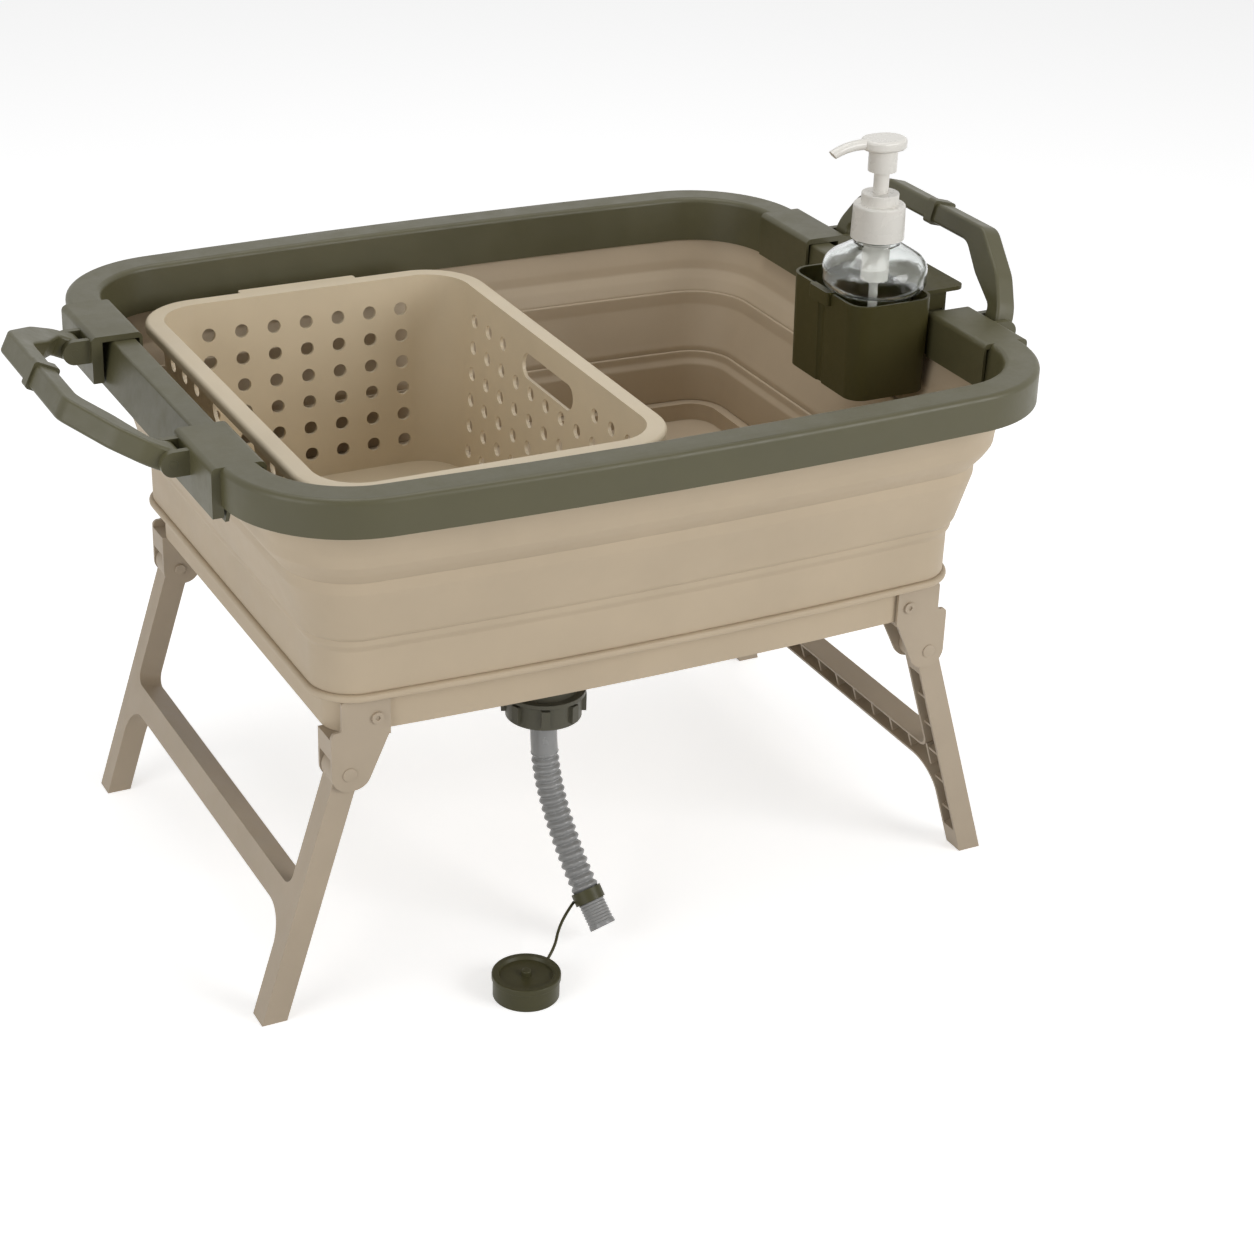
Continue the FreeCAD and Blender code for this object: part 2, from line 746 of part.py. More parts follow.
def make_screw():
    head_y = ear_outer_y1
    top_y = head_y + screw_head_height
    head = rod(screw_head_radius, V(screw_x, head_y, screw_z), V(screw_x, top_y, screw_z))
    shank = rod(screw_radius, V(screw_x, ear_outer_y0 - 4 * ear_thick, screw_z),
                V(screw_x, head_y + hair, screw_z))
    socket = rod(screw_head_radius * 0.4, V(screw_x, head_y + screw_head_height * 0.4, screw_z),
                 V(screw_x, top_y + overrun, screw_z))
    return join(shank, head).cut(socket)


def frame_outline(margin, top, bottom):
    """H-shaped outline of a leg frame in its own upright plane, drawn in by a margin."""
    out = leg_outer_y - margin
    inn = leg_inner_y + margin
    bar_top = -crossbar_drop + crossbar_height / 2 - margin
    bar_low = -crossbar_drop - crossbar_height / 2 + margin
    r_top = branch_radius_top + margin
    r_low = branch_radius_low + margin
    points = [(out, top), (out, bottom), (inn, bottom), (inn, bar_low), (-inn, bar_low), (-inn, bottom),
              (-out, bottom), (-out, top), (-inn, top), (-inn, bar_top), (inn, bar_top), (inn, top)]
    radii = [0, 0, 0, r_low, r_low, 0, 0, 0, 0, r_top, r_top, 0]
    return points, radii


def make_leg_frame():
    """Right leg frame: two channel legs and a crossbar, ribbed inside, splayed and cut at the floor."""
    back_x = pivot_x - leg_depth / 2
    below = leg_length + leg_depth
    points, radii = frame_outline(0, 0, -below)
    plate = prism([V(back_x, y, pivot_z + z) for y, z in points], radii, V(leg_depth, 0, 0))
    knuckles = [rod(knuckle_radius, V(pivot_x, y, pivot_z), V(pivot_x, y + leg_width, pivot_z))
                for y in (leg_inner_y, -leg_outer_y)]
    pocket_top = -knuckle_radius * 1.6
    pocket_low = -leg_length + foot_cap_height
    points, radii = frame_outline(leg_shell, pocket_top, pocket_low)
    pocket = prism([V(back_x - overrun, y, pivot_z + z) for y, z in points], radii,
                   V(leg_depth - leg_floor + overrun, 0, 0))
    slats = []
    face_x = pivot_x + leg_depth / 2
    count = int((pocket_top - pocket_low) // leg_rib_pitch)
    for i in range(1, count + 1):
        z = pivot_z + pocket_top - i * leg_rib_pitch
        for y0 in (leg_inner_y, -leg_outer_y):
            slats.append(box(back_x + leg_shell, face_x, y0, y0 + leg_width, z, z + leg_shell))
    bar_z = pivot_z - crossbar_drop
    half = crossbar_height / 2
    count = int(leg_inner_y // leg_rib_pitch)
    for i in range(-count, count + 1):
        y = i * leg_rib_pitch
        slats.append(box(back_x + leg_shell, face_x, y, y + leg_shell, bar_z - half, bar_z + half))
    pocket = pocket.cut(Part.makeCompound(slats))
    frame = join(plate, *knuckles).cut(pocket)
    reach = leg_outer_y + overrun
    frame = frame.cut(rod(pin_radius + pin_play, V(pivot_x, -reach, pivot_z), V(pivot_x, reach, pivot_z)))
    frame = frame.cut(Part.makeCompound([foot_block(y0, 0) for y0 in (leg_inner_y, -leg_outer_y)]))
    frame.rotate(V(pivot_x, 0, pivot_z), V(0, -1, 0), splay_angle)
    return frame.cut(ground)


def foot_block(y0, gap):
    """The room inside the end of a leg, drawn in by a gap."""
    edge = foot_cap_wall + gap
    back_x = pivot_x - leg_depth / 2
    return box(back_x + edge, back_x + leg_depth - edge, y0 + edge, y0 + leg_width - edge,
               pivot_z - leg_length - leg_depth * 2, pivot_z - leg_length + foot_cap_height * 0.8 - gap)


def make_feet():
    """Plug in the open end of each leg, with a sole flush with the leg's cut."""
    feet = []
    for y0 in (leg_inner_y, -leg_outer_y):
        plug = foot_block(y0, slip / 2)
        plug.rotate(V(pivot_x, 0, pivot_z), V(0, -1, 0), splay_angle)
        feet.append(plug.cut(ground))
    return Part.makeCompound(feet)


ground = box(-2 * end_x, 2 * end_x, -2 * end_x, 2 * end_x, -end_x, 0)


def make_basket():
    """Washing basket: tapered box with a rolled lip, rows of drain holes and a hand slot in each side."""
    x0 = basket_centre_x - basket_half_x
    x1 = basket_centre_x + basket_half_x
    y1 = basket_half_y
    low = pan_floor_z + slip
    floor_z = low + basket_foot_height
    tx = basket_taper_x
    ty = basket_taper_y
    w = basket_wall
    lip = basket_lip
    r = basket_corner
    outer = loft(rounded_box(x0 + tx, x1 - tx, -y1 + ty, y1 - ty, r - lip, floor_z),
                 rounded_box(x0 + lip, x1 - lip, -y1 + lip, y1 - lip, r - lip, basket_top_z))
    inner = loft(rounded_box(x0 + tx + w, x1 - tx - w, -y1 + ty + w, y1 - ty - w, r - lip - w, floor_z + w),
                 rounded_box(x0 + lip + w, x1 - lip - w, -y1 + lip + w, y1 - lip - w, r - lip - w,
                             basket_top_z + overrun))
    lip_low = basket_top_z - basket_lip_height
    ring = Part.Face(rounded_box(x0, x1, -y1, y1, r, lip_low)).extrude(V(0, 0, basket_lip_height))
    top_edges = [e for e in ring.Edges if min(v.Z for v in e.Vertexes) > basket_top_z - hair]
    ring = ring.makeFillet(basket_lip_height * 0.45, top_edges)
    tabs = []
    half_tab = basket_tab_length / 2
    for side in (-1, 1):
        tab_x0 = basket_centre_x - half_tab
        tab_x1 = basket_centre_x + half_tab
        tab = prism([V(tab_x0, 0, 0), V(tab_x1, 0, 0), V(tab_x1, basket_tab_reach, 0),
                     V(tab_x0, basket_tab_reach, 0)], [0, 0, lip_rise, lip_rise], V(0, 0, w))
        tab.translate(V(0, y1 - hair, basket_top_z - basket_lip_height * 0.5))
        tabs.append(mirrored(tab, False, side < 0))
    feet = []
    for sx in (-1, 1):
        for sy in (-1, 1):
            foot_x = basket_centre_x + sx * (basket_half_x - tx - basket_foot_inset)
            centre = V(foot_x, sy * basket_foot_y, low)
            feet.append(rod(basket_foot_radius, centre, centre + UP * (basket_foot_height + hair)))
    body = join(outer, ring, *tabs, *feet).cut(inner)
    return body.cut(Part.makeCompound(basket_holes(floor_z)))


def basket_holes(floor_z):
    holes = []
    r = basket_hole_radius
    first = basket_top_z - basket_first_row_drop
    reach_x = basket_half_x + overrun
    reach_y = basket_half_y + overrun
    cx = basket_centre_x
    for row in range(basket_hole_rows):
        z = first - row * basket_row_pitch
        for i in range(-basket_side_columns, basket_side_columns + 1):
            x = cx + i * basket_hole_pitch
            holes.append(rod(r, V(x, -reach_y, z), V(x, reach_y, z)))
        for i in range(-basket_end_columns, basket_end_columns + 1):
            y = i * basket_hole_pitch
            in_slot = abs(y) < basket_slot_length / 2 + 2 * r and row == 0
            if not in_slot:
                holes.append(rod(r, V(cx - reach_x, y, z), V(cx + reach_x, y, z)))
    for i in range(-basket_floor_columns, basket_floor_columns + 1):
        for j in range(-basket_end_columns, basket_end_columns + 1):
            x = cx + i * basket_hole_pitch * basket_floor_stretch
            y = j * basket_hole_pitch
            holes.append(rod(r, V(x, y, floor_z - overrun), V(x, y, floor_z + basket_wall + overrun)))
    half = basket_slot_length / 2
    mid = basket_top_z - basket_slot_drop
    up = basket_slot_height / 2
    x = cx - reach_x
    slot = prism([V(x, -half, mid - up), V(x, half, mid - up), V(x, half, mid + up), V(x, -half, mid + up)],
                 [up - hair] * 4, V(2 * reach_x, 0, 0))
    return holes + [slot]


def make_soap_cup():
    """Square cup with a grooved front, a clip tab and a flange that rests on the end bar."""
    half = cup_length / 2
    y0 = cup_centre_y - half
    y1 = cup_centre_y + half
    low = cup_top_z - cup_height
    t = cup_taper
    w = cup_wall
    r = cup_corner
    low_out = cup_outer_x - cup_bar_taper
    outer = loft(rounded_box(cup_inner_x + t, low_out, y0 + t, y1 - t, r - w, low),
                 rounded_box(cup_inner_x, cup_outer_x, y0, y1, r, cup_top_z))
    inner = loft(rounded_box(cup_inner_x + t + w, low_out - w, y0 + t + w, y1 - t - w, r - 2 * w, low + w),
                 rounded_box(cup_inner_x + w, cup_outer_x - w, y0 + w, y1 - w, r - w, cup_top_z + overrun))
    g = cup_groove_radius
    axis = V(cup_inner_x - g * 0.5, cup_centre_y + cup_groove_offset, 0)
    groove_top = cup_top_z - cup_clip_height
    groove = rod(g, axis + UP * (low - overrun), axis + UP * groove_top)
    sleeve = rod(g + w, axis + UP * (low - overrun), axis + UP * (groove_top + w))
    body = outer.cut(groove)
    cavity = inner.cut(sleeve)
    top = cup_top_z
    root_x = cup_outer_x - w
    wide = half - r
    neck = cup_flange_half
    tip = cup_flange_reach
    mid_y = cup_centre_y
    plate_z = top - cup_flange_thick
    corners = [V(root_x, mid_y - wide, plate_z), V(tip, mid_y - neck, plate_z), V(tip, mid_y + neck, plate_z),
               V(root_x, mid_y + wide, plate_z)]
    flange = prism(corners, [0, r / 2, r / 2, 0], V(0, 0, cup_flange_thick))
    rest_z = bar_top_z + slip
    cheeks = []
    for side in (-1, 1):
        y = mid_y + side * (neck - r / 2)
        cheeks.append(box(root_x, bar_outer_x, y - w / 2, y + w / 2, rest_z, top - hair))
    lip_x = end_x - bar_foot_inset
    cheeks.append(box(lip_x - w, lip_x, mid_y - neck + r, mid_y + neck - r,
                      bar_top_z - cup_clip_height, top - hair))
    clip_x = cup_inner_x - cup_clip_proud
    clip_z = top - cup_clip_height
    clip_y0 = axis.y - cup_clip_length / 2
    clip_y1 = axis.y + cup_clip_length / 2
    clip = prism([V(clip_x, clip_y0, clip_z), V(clip_x, clip_y1, clip_z), V(cup_inner_x + w, clip_y1, clip_z),
                  V(cup_inner_x + w, clip_y0, clip_z)], [cup_clip_proud * 0.7, cup_clip_proud * 0.7, 0, 0],
                 V(0, 0, cup_clip_height + lip_rise / 2))
    return join(body, flange, clip, *cheeks).cut(cavity)


cup_floor_z = cup_top_z - cup_height + cup_wall
bottle_x = cup_inner_x + cup_wall + cup_taper + bottle_front_gap + bottle_radius
bottle_y = cup_centre_y - cup_length / 2 + cup_wall + cup_taper + bottle_front_gap + bottle_radius
bottle_axis = V(bottle_x, bottle_y, 0)
bottle_low = cup_floor_z + slip
collar_top_z = collar_bottom_z + collar_height
collar_roof_z = collar_top_z - 2 * bottle_wall
neck_top_z = collar_roof_z - pump_flange_thick - slip
step_top_z = collar_top_z + collar_step_height
pump_skirt_z = step_top_z + pump_stroke + pump_rest_gap
pump_head_z = pump_skirt_z + pump_skirt_height


def bottle_profile(shrink):
    """Half section of the bottle, drawn in by a wall: side in the cup, bulge above it, shoulder, neck."""
    r = bottle_radius - shrink
    neck = bottle_neck_radius - shrink
    low = bottle_low + shrink
    top = neck_top_z + (overrun if shrink else 0)
    bulge = bottle_bulge_radius - shrink
    points = [(0, low), (r, low), (r, bottle_waist_z + shrink), (bulge, bottle_bulge_low_z),
              (bulge, bottle_bulge_top_z - shrink), (neck, bottle_neck_z - shrink), (neck, top), (0, top)]
    return points, [0, bottle_wall * 4, bottle_wall * 2, bottle_wall * 4, bottle_wall * 7, bottle_wall, 0, 0]


def make_bottle():
    outer = lathe(*bottle_profile(0), bottle_axis)
    inner = lathe(*bottle_profile(bottle_wall), bottle_axis)
    bead_z = (bottle_neck_z + collar_bottom_z) / 2
    half = bottle_wall / 2
    ring = pipe(bottle_neck_radius + half, bottle_neck_radius - hair, bottle_axis + UP * (bead_z - half),
                bottle_axis + UP * (bead_z + half))
    return join(outer.cut(inner), ring)


def make_collar():
    roof = collar_roof_z
    bore = pump_stem_radius + pin_play
    inside = bottle_neck_radius + slip
    points = [(inside, collar_bottom_z), (collar_radius, collar_bottom_z),
              (collar_radius - bottle_wall / 2, collar_top_z), (collar_step_radius, collar_top_z),
              (collar_step_radius, step_top_z), (bore, step_top_z), (bore, roof), (inside, roof)]
    return lathe(points, [0, 0, bottle_wall, 0, bottle_wall / 2, 0, 0, 0], bottle_axis)


def make_pump_body():
    """Cylinder of the pump, hung by a flange on the mouth of the bottle."""
    flange_top = collar_roof_z - slip / 2
    flange_z = flange_top - pump_flange_thick
    low = pump_low
    r = pump_body_radius
    inner = r - pump_body_wall
    tube_hole = dip_tube_radius - dip_tube_wall
    points = [(tube_hole, low), (r, low), (r, flange_z), (bottle_neck_radius - slip, flange_z),
              (bottle_neck_radius - slip, flange_top), (inner, flange_top), (inner, low + pump_body_wall),
              (tube_hole, low + pump_body_wall)]
    return lathe(points, [0] * 8, bottle_axis)


pump_low = collar_roof_z - slip / 2 - pump_body_length
piston_z = pump_low + pump_body_wall + pump_body_length * pump_chamber_share


def make_dip_tube():
    end = bottle_low + bottle_wall + dip_tube_gap
    return pipe(dip_tube_radius, dip_tube_radius - dip_tube_wall, bottle_axis + UP * end,
                bottle_axis + UP * pump_low)


def make_spring():
    """Sleeve in the place of the coil below the piston."""
    low = bottle_axis + UP * (pump_low + pump_body_wall + spring_wire)
    high = bottle_axis + UP * (piston_z - spring_wire)
    return pipe(spring_radius + spring_wire / 2, spring_radius - spring_wire / 2, low, high)


def make_pump_head():
    """Oval press pad with a skirt, a stem down to the piston and a nozzle that arches to the left."""
    c = bottle_axis
    half_l = pump_head_length / 2
    half_w = pump_head_width / 2
    oval = rounded_box(c.x - half_l, c.x + half_l, c.y - half_w, c.y + half_w, half_w - hair, pump_head_z)
    pad = Part.Face(oval).extrude(V(0, 0, pump_head_height))
    pad = pad.makeFillet(pump_head_height * 0.3, [e for e in pad.Edges if not is_upright(e)])
    skirt = rod(pump_skirt_radius, c + UP * pump_skirt_z, c + UP * (pump_head_z + overrun))
    stem = rod(pump_stem_radius, c + UP * piston_z, c + UP * (pump_skirt_z + overrun))
    piston_radius = pump_body_radius - pump_body_wall - pin_play
    piston = rod(piston_radius, c + UP * piston_z, c + UP * (piston_z + 2 * lip_rise))
    z = pump_head_z + pump_head_height * 0.5
    sections = []
    for share, drop, size in nozzle_shares:
        centre = V(c.x - share * nozzle_reach, c.y, z + drop * nozzle_droop)
        lean = V(-1, 0, -drop_slope(share))
        sections.append(Part.Wire(Part.Circle(centre, lean, nozzle_radius * size).toShape()))
    nozzle = Part.makeLoft(sections, True, False)
    return join(pad, skirt, stem, piston, nozzle)


# Along the nozzle: distance out, height against the droop, and thickness
nozzle_shares = ((0.2, 0.0, 0.85), (0.45, 0.15, 0.85), (0.72, -0.1, 0.82), (0.9, -0.6, 0.8),
                 (1.0, -1.0, 0.78))


def drop_slope(share):
    """How steeply the nozzle falls at a share of its reach."""
    return max(0, share - 0.5) * 1.7


def make_drain_body():
    """Threaded drain: flange over the pan floor, neck through it, and a ring at its lower end."""
    low = drain_bottom_z
    flange_z = pan_floor_z + gasket_thick
    ring_top = low + drain_ring_height
    top = flange_z + drain_flange_thick
    points = [(drain_bore_radius, low), (drain_ring_radius, low), (drain_ring_radius, ring_top),
              (drain_neck_radius, ring_top), (drain_neck_radius, flange_z), (drain_flange_radius, flange_z),
              (drain_flange_radius, top), (strainer_radius + 2 * strainer_thick, top),
              (drain_bore_radius, flange_z)]
    return lathe(points, [0, 0, 0, 0, 0, 0, drain_flange_thick * 0.4, 0, 0], V(drain_x, drain_y, 0))


def drain_ring(outer, inner, low, high):
    axis = V(drain_x, drain_y, 0)
    return pipe(outer, inner, axis + UP * low, axis + UP * high)


def make_strainer():
    low = pan_floor_z + gasket_thick
    axis = V(drain_x, drain_y, 0)
    disc = rod(strainer_radius, axis + UP * low, axis + UP * (low + strainer_thick))
    holes = []
    for ring, count in strainer_ring_shares:
        for i in range(count):
            a = 2 * math.pi * i / count
            p = axis + V(math.cos(a), math.sin(a), 0) * (ring * strainer_radius)
            end = p + UP * (low + strainer_thick + overrun)
            holes.append(rod(strainer_hole_radius, p + UP * (low - overrun), end))
    legs = pipe(drain_bore_radius - slip, strainer_radius - strainer_thick,
                axis + UP * (low - 3 * strainer_thick), axis + UP * (low + hair))
    return join(disc.cut(Part.makeCompound(holes)), legs)


def make_hose_nut():
    """Lugged nut that draws the hose cuff up against the drain."""
    high = drain_bottom_z - seal_thick
    low = high - hose_nut_height
    axis = V(drain_x, drain_y, 0)
    nut = rod(hose_nut_radius, axis + UP * low, axis + UP * high)
    lugs = []
    for i in range(hose_nut_lugs):
        lug = box(hose_nut_radius - hose_nut_lug, hose_nut_radius + hose_nut_lug, -hose_nut_lug, hose_nut_lug,
                  low + hose_nut_lug, high)
        lug.rotate(V(0, 0, 0), UP, 360.0 * (i + 0.5) / hose_nut_lugs)
        lug.translate(axis)
        lugs.append(lug)
    nut = join(nut, *lugs)
    end = axis + UP * (high + overrun)
    nut = nut.cut(rod(hose_cuff_radius, axis + UP * (low - overrun), end))
    return nut.cut(rod(drain_bore_radius, axis + UP * (low + hose_nut_height * 0.4), end))


def route_edges(points, report):
    """Straight runs joined by tangent arcs, each as large as its two runs allow."""
    edges = []
    start = points[0]
    for i in range(1, len(points) - 1):
        p = points[i]
        back = points[i - 1] - p
        on = points[i + 1] - p
        half_turn = (math.pi - back.getAngle(on)) / 2
        tangent = 0.45 * min(back.Length, on.Length)
        report.append(tangent / math.tan(half_turn))
        a = p + V(back).normalize() * tangent
        b = p + V(on).normalize() * tangent
        bisector = (V(back).normalize() + V(on).normalize()).normalize()
        radius = report[-1]
        middle = p + bisector * (math.hypot(radius, tangent) - radius)
        edges.append(Part.LineSegment(start, a).toShape())
        edges.append(Part.Arc(a, middle, b).toShape())
        start = b
    edges.append(Part.LineSegment(start, points[-1]).toShape())
    return edges


def cord(name, points, radius, bore):
    radii = []
    spine = Part.Wire(route_edges(points, radii))
    start = points[0]
    direction = points[1] - points[0]

    def sweep(r):
        ring = Part.Wire(Part.Circle(start, direction, r).toShape())
        return spine.makePipeShell([ring], True, False)

    tube = sweep(radius)
    print(name, "length", round(spine.Length, 2), "radii", [round(r, 1) for r in radii], "volume share",
          round(tube.Volume / (math.pi * radius ** 2 * spine.Length), 4))
    if bore:
        tube = tube.cut(sweep(bore))
    return tube, spine


def along(spine, distance):
    """Point and direction on a wire at a distance from its start."""
    for edge in spine.OrderedEdges:
        if distance <= edge.Length:
            u = edge.getParameterByLength(distance)
            return edge.valueAt(u), edge.tangentAt(u)
        distance -= edge.Length
    last = spine.OrderedEdges[-1]
    return last.valueAt(last.LastParameter), last.tangentAt(last.LastParameter)


def steady_ring(place, heading, radius):
    """Circle square to the heading, with its own X axis kept square to the tub's long side."""
    x_axis = ACROSS.cross(heading).normalize()
    ring = Part.Circle(place, heading, radius)
    ring.XAxis = x_axis
    return Part.Wire(ring.toShape())


def make_hose():
    """Ribbed hose: a smooth cuff at each end and a rib every pitch, with its bore."""
    radii = []
    spine = Part.Wire(route_edges(hose_route, radii))
    length = spine.Length
    cuff = 2 * hose_radius
    count = int((length - 2 * cuff) // hose_rib_pitch)
    pitch = (length - 2 * cuff) / count
    stations = [(0, hose_cuff_radius), (cuff - pitch / 4, hose_cuff_radius)]
    for i in range(count):
        for share, radius in rib_shares:
            stations.append((cuff + (i + share) * pitch, radius))
    stations += [(length - cuff, hose_cuff_radius), (length, hose_cuff_radius)]
    skin = Part.makeLoft([steady_ring(*along(spine, s), r) for s, r in stations], True, True)
    bores = [steady_ring(*along(spine, s), hose_bore_radius) for s, _ in stations[2:-2:4]]
    for s, reach in ((0, -overrun), (length, overrun)):
        place, heading = along(spine, s)
        ring = steady_ring(place + heading * reach, heading, hose_bore_radius)
        bores.insert(0 if s == 0 else len(bores), ring)
    print("drain_hose length", round(length, 2), "radii", [round(r, 1) for r in radii], "ribs", count)
    return skin.cut(Part.makeLoft(bores, True, True)), spine


def make_strap(spine):
    """Band round the hose near its end, with the eye that the tether leaves from."""
    place, heading = along(spine, spine.Length - 2 * hose_radius - strap_length)
    inner = hose_radius + slip / 3
    return pipe(inner + strap_thick, inner, place, place + heading * strap_length)


def make_cap():
    """Round cap lying on the floor: dished top with a knob, hollow below."""
    centre = V(cap_x, cap_y, 0)
    r = cap_radius
    top = cap_height
    dish = r - 2 * cap_wall
    bed = top - cap_dish
    knob = bed + cap_knob_height
    rim_z = top - 2 * cap_wall
    points = [(r - cap_wall, 0), (r - cap_rim_proud, 0), (r - cap_rim_proud, rim_z), (r, rim_z), (r, top),
              (dish, top), (dish - cap_dish / 2, bed), (cap_knob_radius, bed), (cap_knob_radius, knob),
              (0, knob), (0, bed - cap_wall), (r - cap_wall, bed - cap_wall)]
    radii = [0, 0, 0, cap_rim_proud * 0.4, cap_wall / 2, 0, 0, 0, cap_wall / 2, 0, 0, 0]
    return lathe(points, radii, centre)


def group(maker, pairs):
    return Part.makeCompound([mirrored(maker, sx < 0, sy < 0) for sx, sy in pairs])


def build():
    four = ((1, 1), (-1, 1), (-1, -1), (1, -1))
    nodes = {}
    nodes["base_pan"] = make_base_pan()
    nodes["wall_lower"] = make_lower_wall()
    nodes["wall_middle"] = make_middle_wall()
    nodes["wall_upper"] = make_upper_wall()
    nodes["rim_shell"] = make_rim_shell()
    nodes["rim_clamp_ring"] = make_clamp_ring()
    saddle = make_saddle()
    bracket = make_bracket()
    for sx, sy in four:
        place = ("back" if sy > 0 else "front") + "_" + ("right" if sx > 0 else "left")
        nodes["saddle_" + place] = mirrored(saddle, sx < 0, sy > 0)
        nodes["leg_bracket_" + place] = mirrored(bracket, sx < 0, sy < 0)
    nodes["handle_pins"] = group(make_handle_pin(), four)
    nodes["handle_right"] = make_handle(right_handle_raise)
    nodes["handle_left"] = mirrored(make_handle(left_handle_raise), True, False)
    nodes["leg_pins"] = group(make_leg_pin(), four)
    nodes["bracket_screws"] = group(make_screw(), four)
    frame = make_leg_frame()
    feet = make_feet()
    nodes["leg_frame_right"] = frame
    nodes["leg_frame_left"] = mirrored(frame, True, False)
    nodes["feet_right"] = feet
    nodes["feet_left"] = mirrored(feet, True, False)
    latch = make_latch()
    catch = make_catch()
    nodes["latch_right"] = latch
    nodes["latch_left"] = mirrored(latch, True, False)
    nodes["latch_pins"] = group(make_latch_pin(), ((1, 1), (-1, 1)))
    nodes["latch_catches"] = group(catch, ((1, 1), (-1, 1)))
    nodes["basket"] = make_basket()
    nodes["soap_cup"] = make_soap_cup()
    nodes["soap_bottle"] = make_bottle()
    nodes["bottle_collar"] = make_collar()
    nodes["pump_body"] = make_pump_body()
    nodes["pump_spring"] = make_spring()
    nodes["pump_head"] = make_pump_head()
    nodes["dip_tube"] = make_dip_tube()
    nodes["drain_body"] = make_drain_body()
    nodes["drain_gasket"] = drain_ring(drain_flange_radius, drain_neck_radius + slip, pan_floor_z,
                                       pan_floor_z + gasket_thick)
    nodes["drain_locknut"] = drain_ring(locknut_radius, drain_neck_radius + hair,
                                        pan_under_z - locknut_height, pan_under_z)
    nodes["drain_strainer"] = make_strainer()
    nodes["hose_nut"] = make_hose_nut()
    nodes["hose_seal"] = drain_ring(hose_nut_radius - slip, drain_bore_radius, drain_bottom_z - seal_thick,
                                    drain_bottom_z)
    hose, spine = make_hose()
    nodes["drain_hose"] = hose
    nodes["cap_tether"] = cord("cap_tether", tether_route, tether_radius, 0)[0]
    nodes["hose_strap"] = make_strap(spine).cut(nodes["cap_tether"])
    nodes["drain_cap"] = make_cap()
    return nodes


def centre_on_floor(nodes):
    """Move everything sideways so that the origin is the middle of the object, free cord left out."""
    loose = ("drain_hose", "hose_strap", "cap_tether", "drain_cap")
    span = FreeCAD.BoundBox()
    for name, shape in nodes.items():
        if name not in loose:
            span.add(shape.BoundBox)
    shift = V(-span.Center.x, -span.Center.y, 0)
    print("shift", shift, "span", span)
    for shape in nodes.values():
        shape.translate(shift)
    return shift


def main():
    os.makedirs("parts", exist_ok=True)
    nodes = build()
    centre_on_floor(nodes)
    for name, shape in nodes.items():
        span = shape.BoundBox
        print("%-26s solids %d valid %s volume %9.1f  x %6.1f %6.1f  y %6.1f %6.1f  z %6.1f %6.1f" % (
            name, len(shape.Solids), shape.isValid(), shape.Volume, span.XMin, span.XMax, span.YMin,
            span.YMax, span.ZMin, span.ZMax))
        shape.exportStep("parts/" + name + ".step")


main()
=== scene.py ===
import math

import bmesh
import bpy
import numpy as np
from mathutils import Matrix, Vector


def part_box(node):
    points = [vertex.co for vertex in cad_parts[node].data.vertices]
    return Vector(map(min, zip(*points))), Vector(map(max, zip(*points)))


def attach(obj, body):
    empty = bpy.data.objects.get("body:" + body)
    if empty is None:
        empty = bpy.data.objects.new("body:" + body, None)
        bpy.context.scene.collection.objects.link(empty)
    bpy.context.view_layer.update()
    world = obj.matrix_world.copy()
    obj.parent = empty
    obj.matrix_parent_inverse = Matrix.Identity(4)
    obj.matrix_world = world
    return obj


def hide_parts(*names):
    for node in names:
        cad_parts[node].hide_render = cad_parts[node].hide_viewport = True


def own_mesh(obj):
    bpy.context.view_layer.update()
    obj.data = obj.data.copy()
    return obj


bl_info = {
    "name": "Camp wash station",
    "version": (1, 0, 0),
    "blender": (4, 5, 0),
    "location": "View3D > Sidebar > Wash station",
    "description": "Finished surfaces and stage of a folding camp wash station",
    "category": "Object",
}

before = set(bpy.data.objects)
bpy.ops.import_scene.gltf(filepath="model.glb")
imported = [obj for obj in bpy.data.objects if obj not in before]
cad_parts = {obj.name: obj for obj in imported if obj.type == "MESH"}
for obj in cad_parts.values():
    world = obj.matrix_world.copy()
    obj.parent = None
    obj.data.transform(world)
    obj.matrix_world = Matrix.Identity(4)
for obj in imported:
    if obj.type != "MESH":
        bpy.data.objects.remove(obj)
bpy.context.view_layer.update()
pan_low, pan_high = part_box("base_pan")
tub_x = (pan_low.x + pan_high.x) / 2
tub_y = (pan_low.y + pan_high.y) / 2
MM = 0.001

# the tub's plan: straight ends, round corners, long sides bowed a little
CORNER_X = 212 * MM
CORNER_Y = 157.86 * MM
CORNER_RADIUS = 86 * MM
BOW_RADIUS = 3748.33 * MM
BOW_CENTRE = -3498.33 * MM

UPPER = [(21.4, 384), (22.6, 371), (26.6, 354.5), (27.5, 346), (32.2, 338.5), (39.2, 330)]
MIDDLE = [(39.5, 332), (39.5, 321.5), (48, 291.5), (49.5, 286), (51.7, 283)]
LOWER = [(52, 285), (52, 279), (54.7, 274.5), (55, 243)]
UPPER_RISE = (0, 0, 0, 0.5, 1, 1)
MIDDLE_RISE = (0, 0, 0.5, 1, 1)
LOWER_RISE = (0, 0, 0, 0)

HOSE = [(-58, -130, 168), (-57.6, -130, 146), (-56, -132, 122), (-52.3, -137, 97), (-47.3, -150, 68),
        (-41.5, -168, 40), (-35.6, -188, 17)]
HOSE_CUFF = 32 * MM
CUFF_INSET = 0.4 * MM
HOSE_SLEEVE = 22 * MM
SLEEVE_PITCH = 2.3 * MM
SLEEVE_INSET = 0.7 * MM
SLEEVE_DEPTH = 0.3 * MM
HOSE_END = 2.5 * MM
END_INSET = 0.3 * MM
RIB_POWER = 0.7

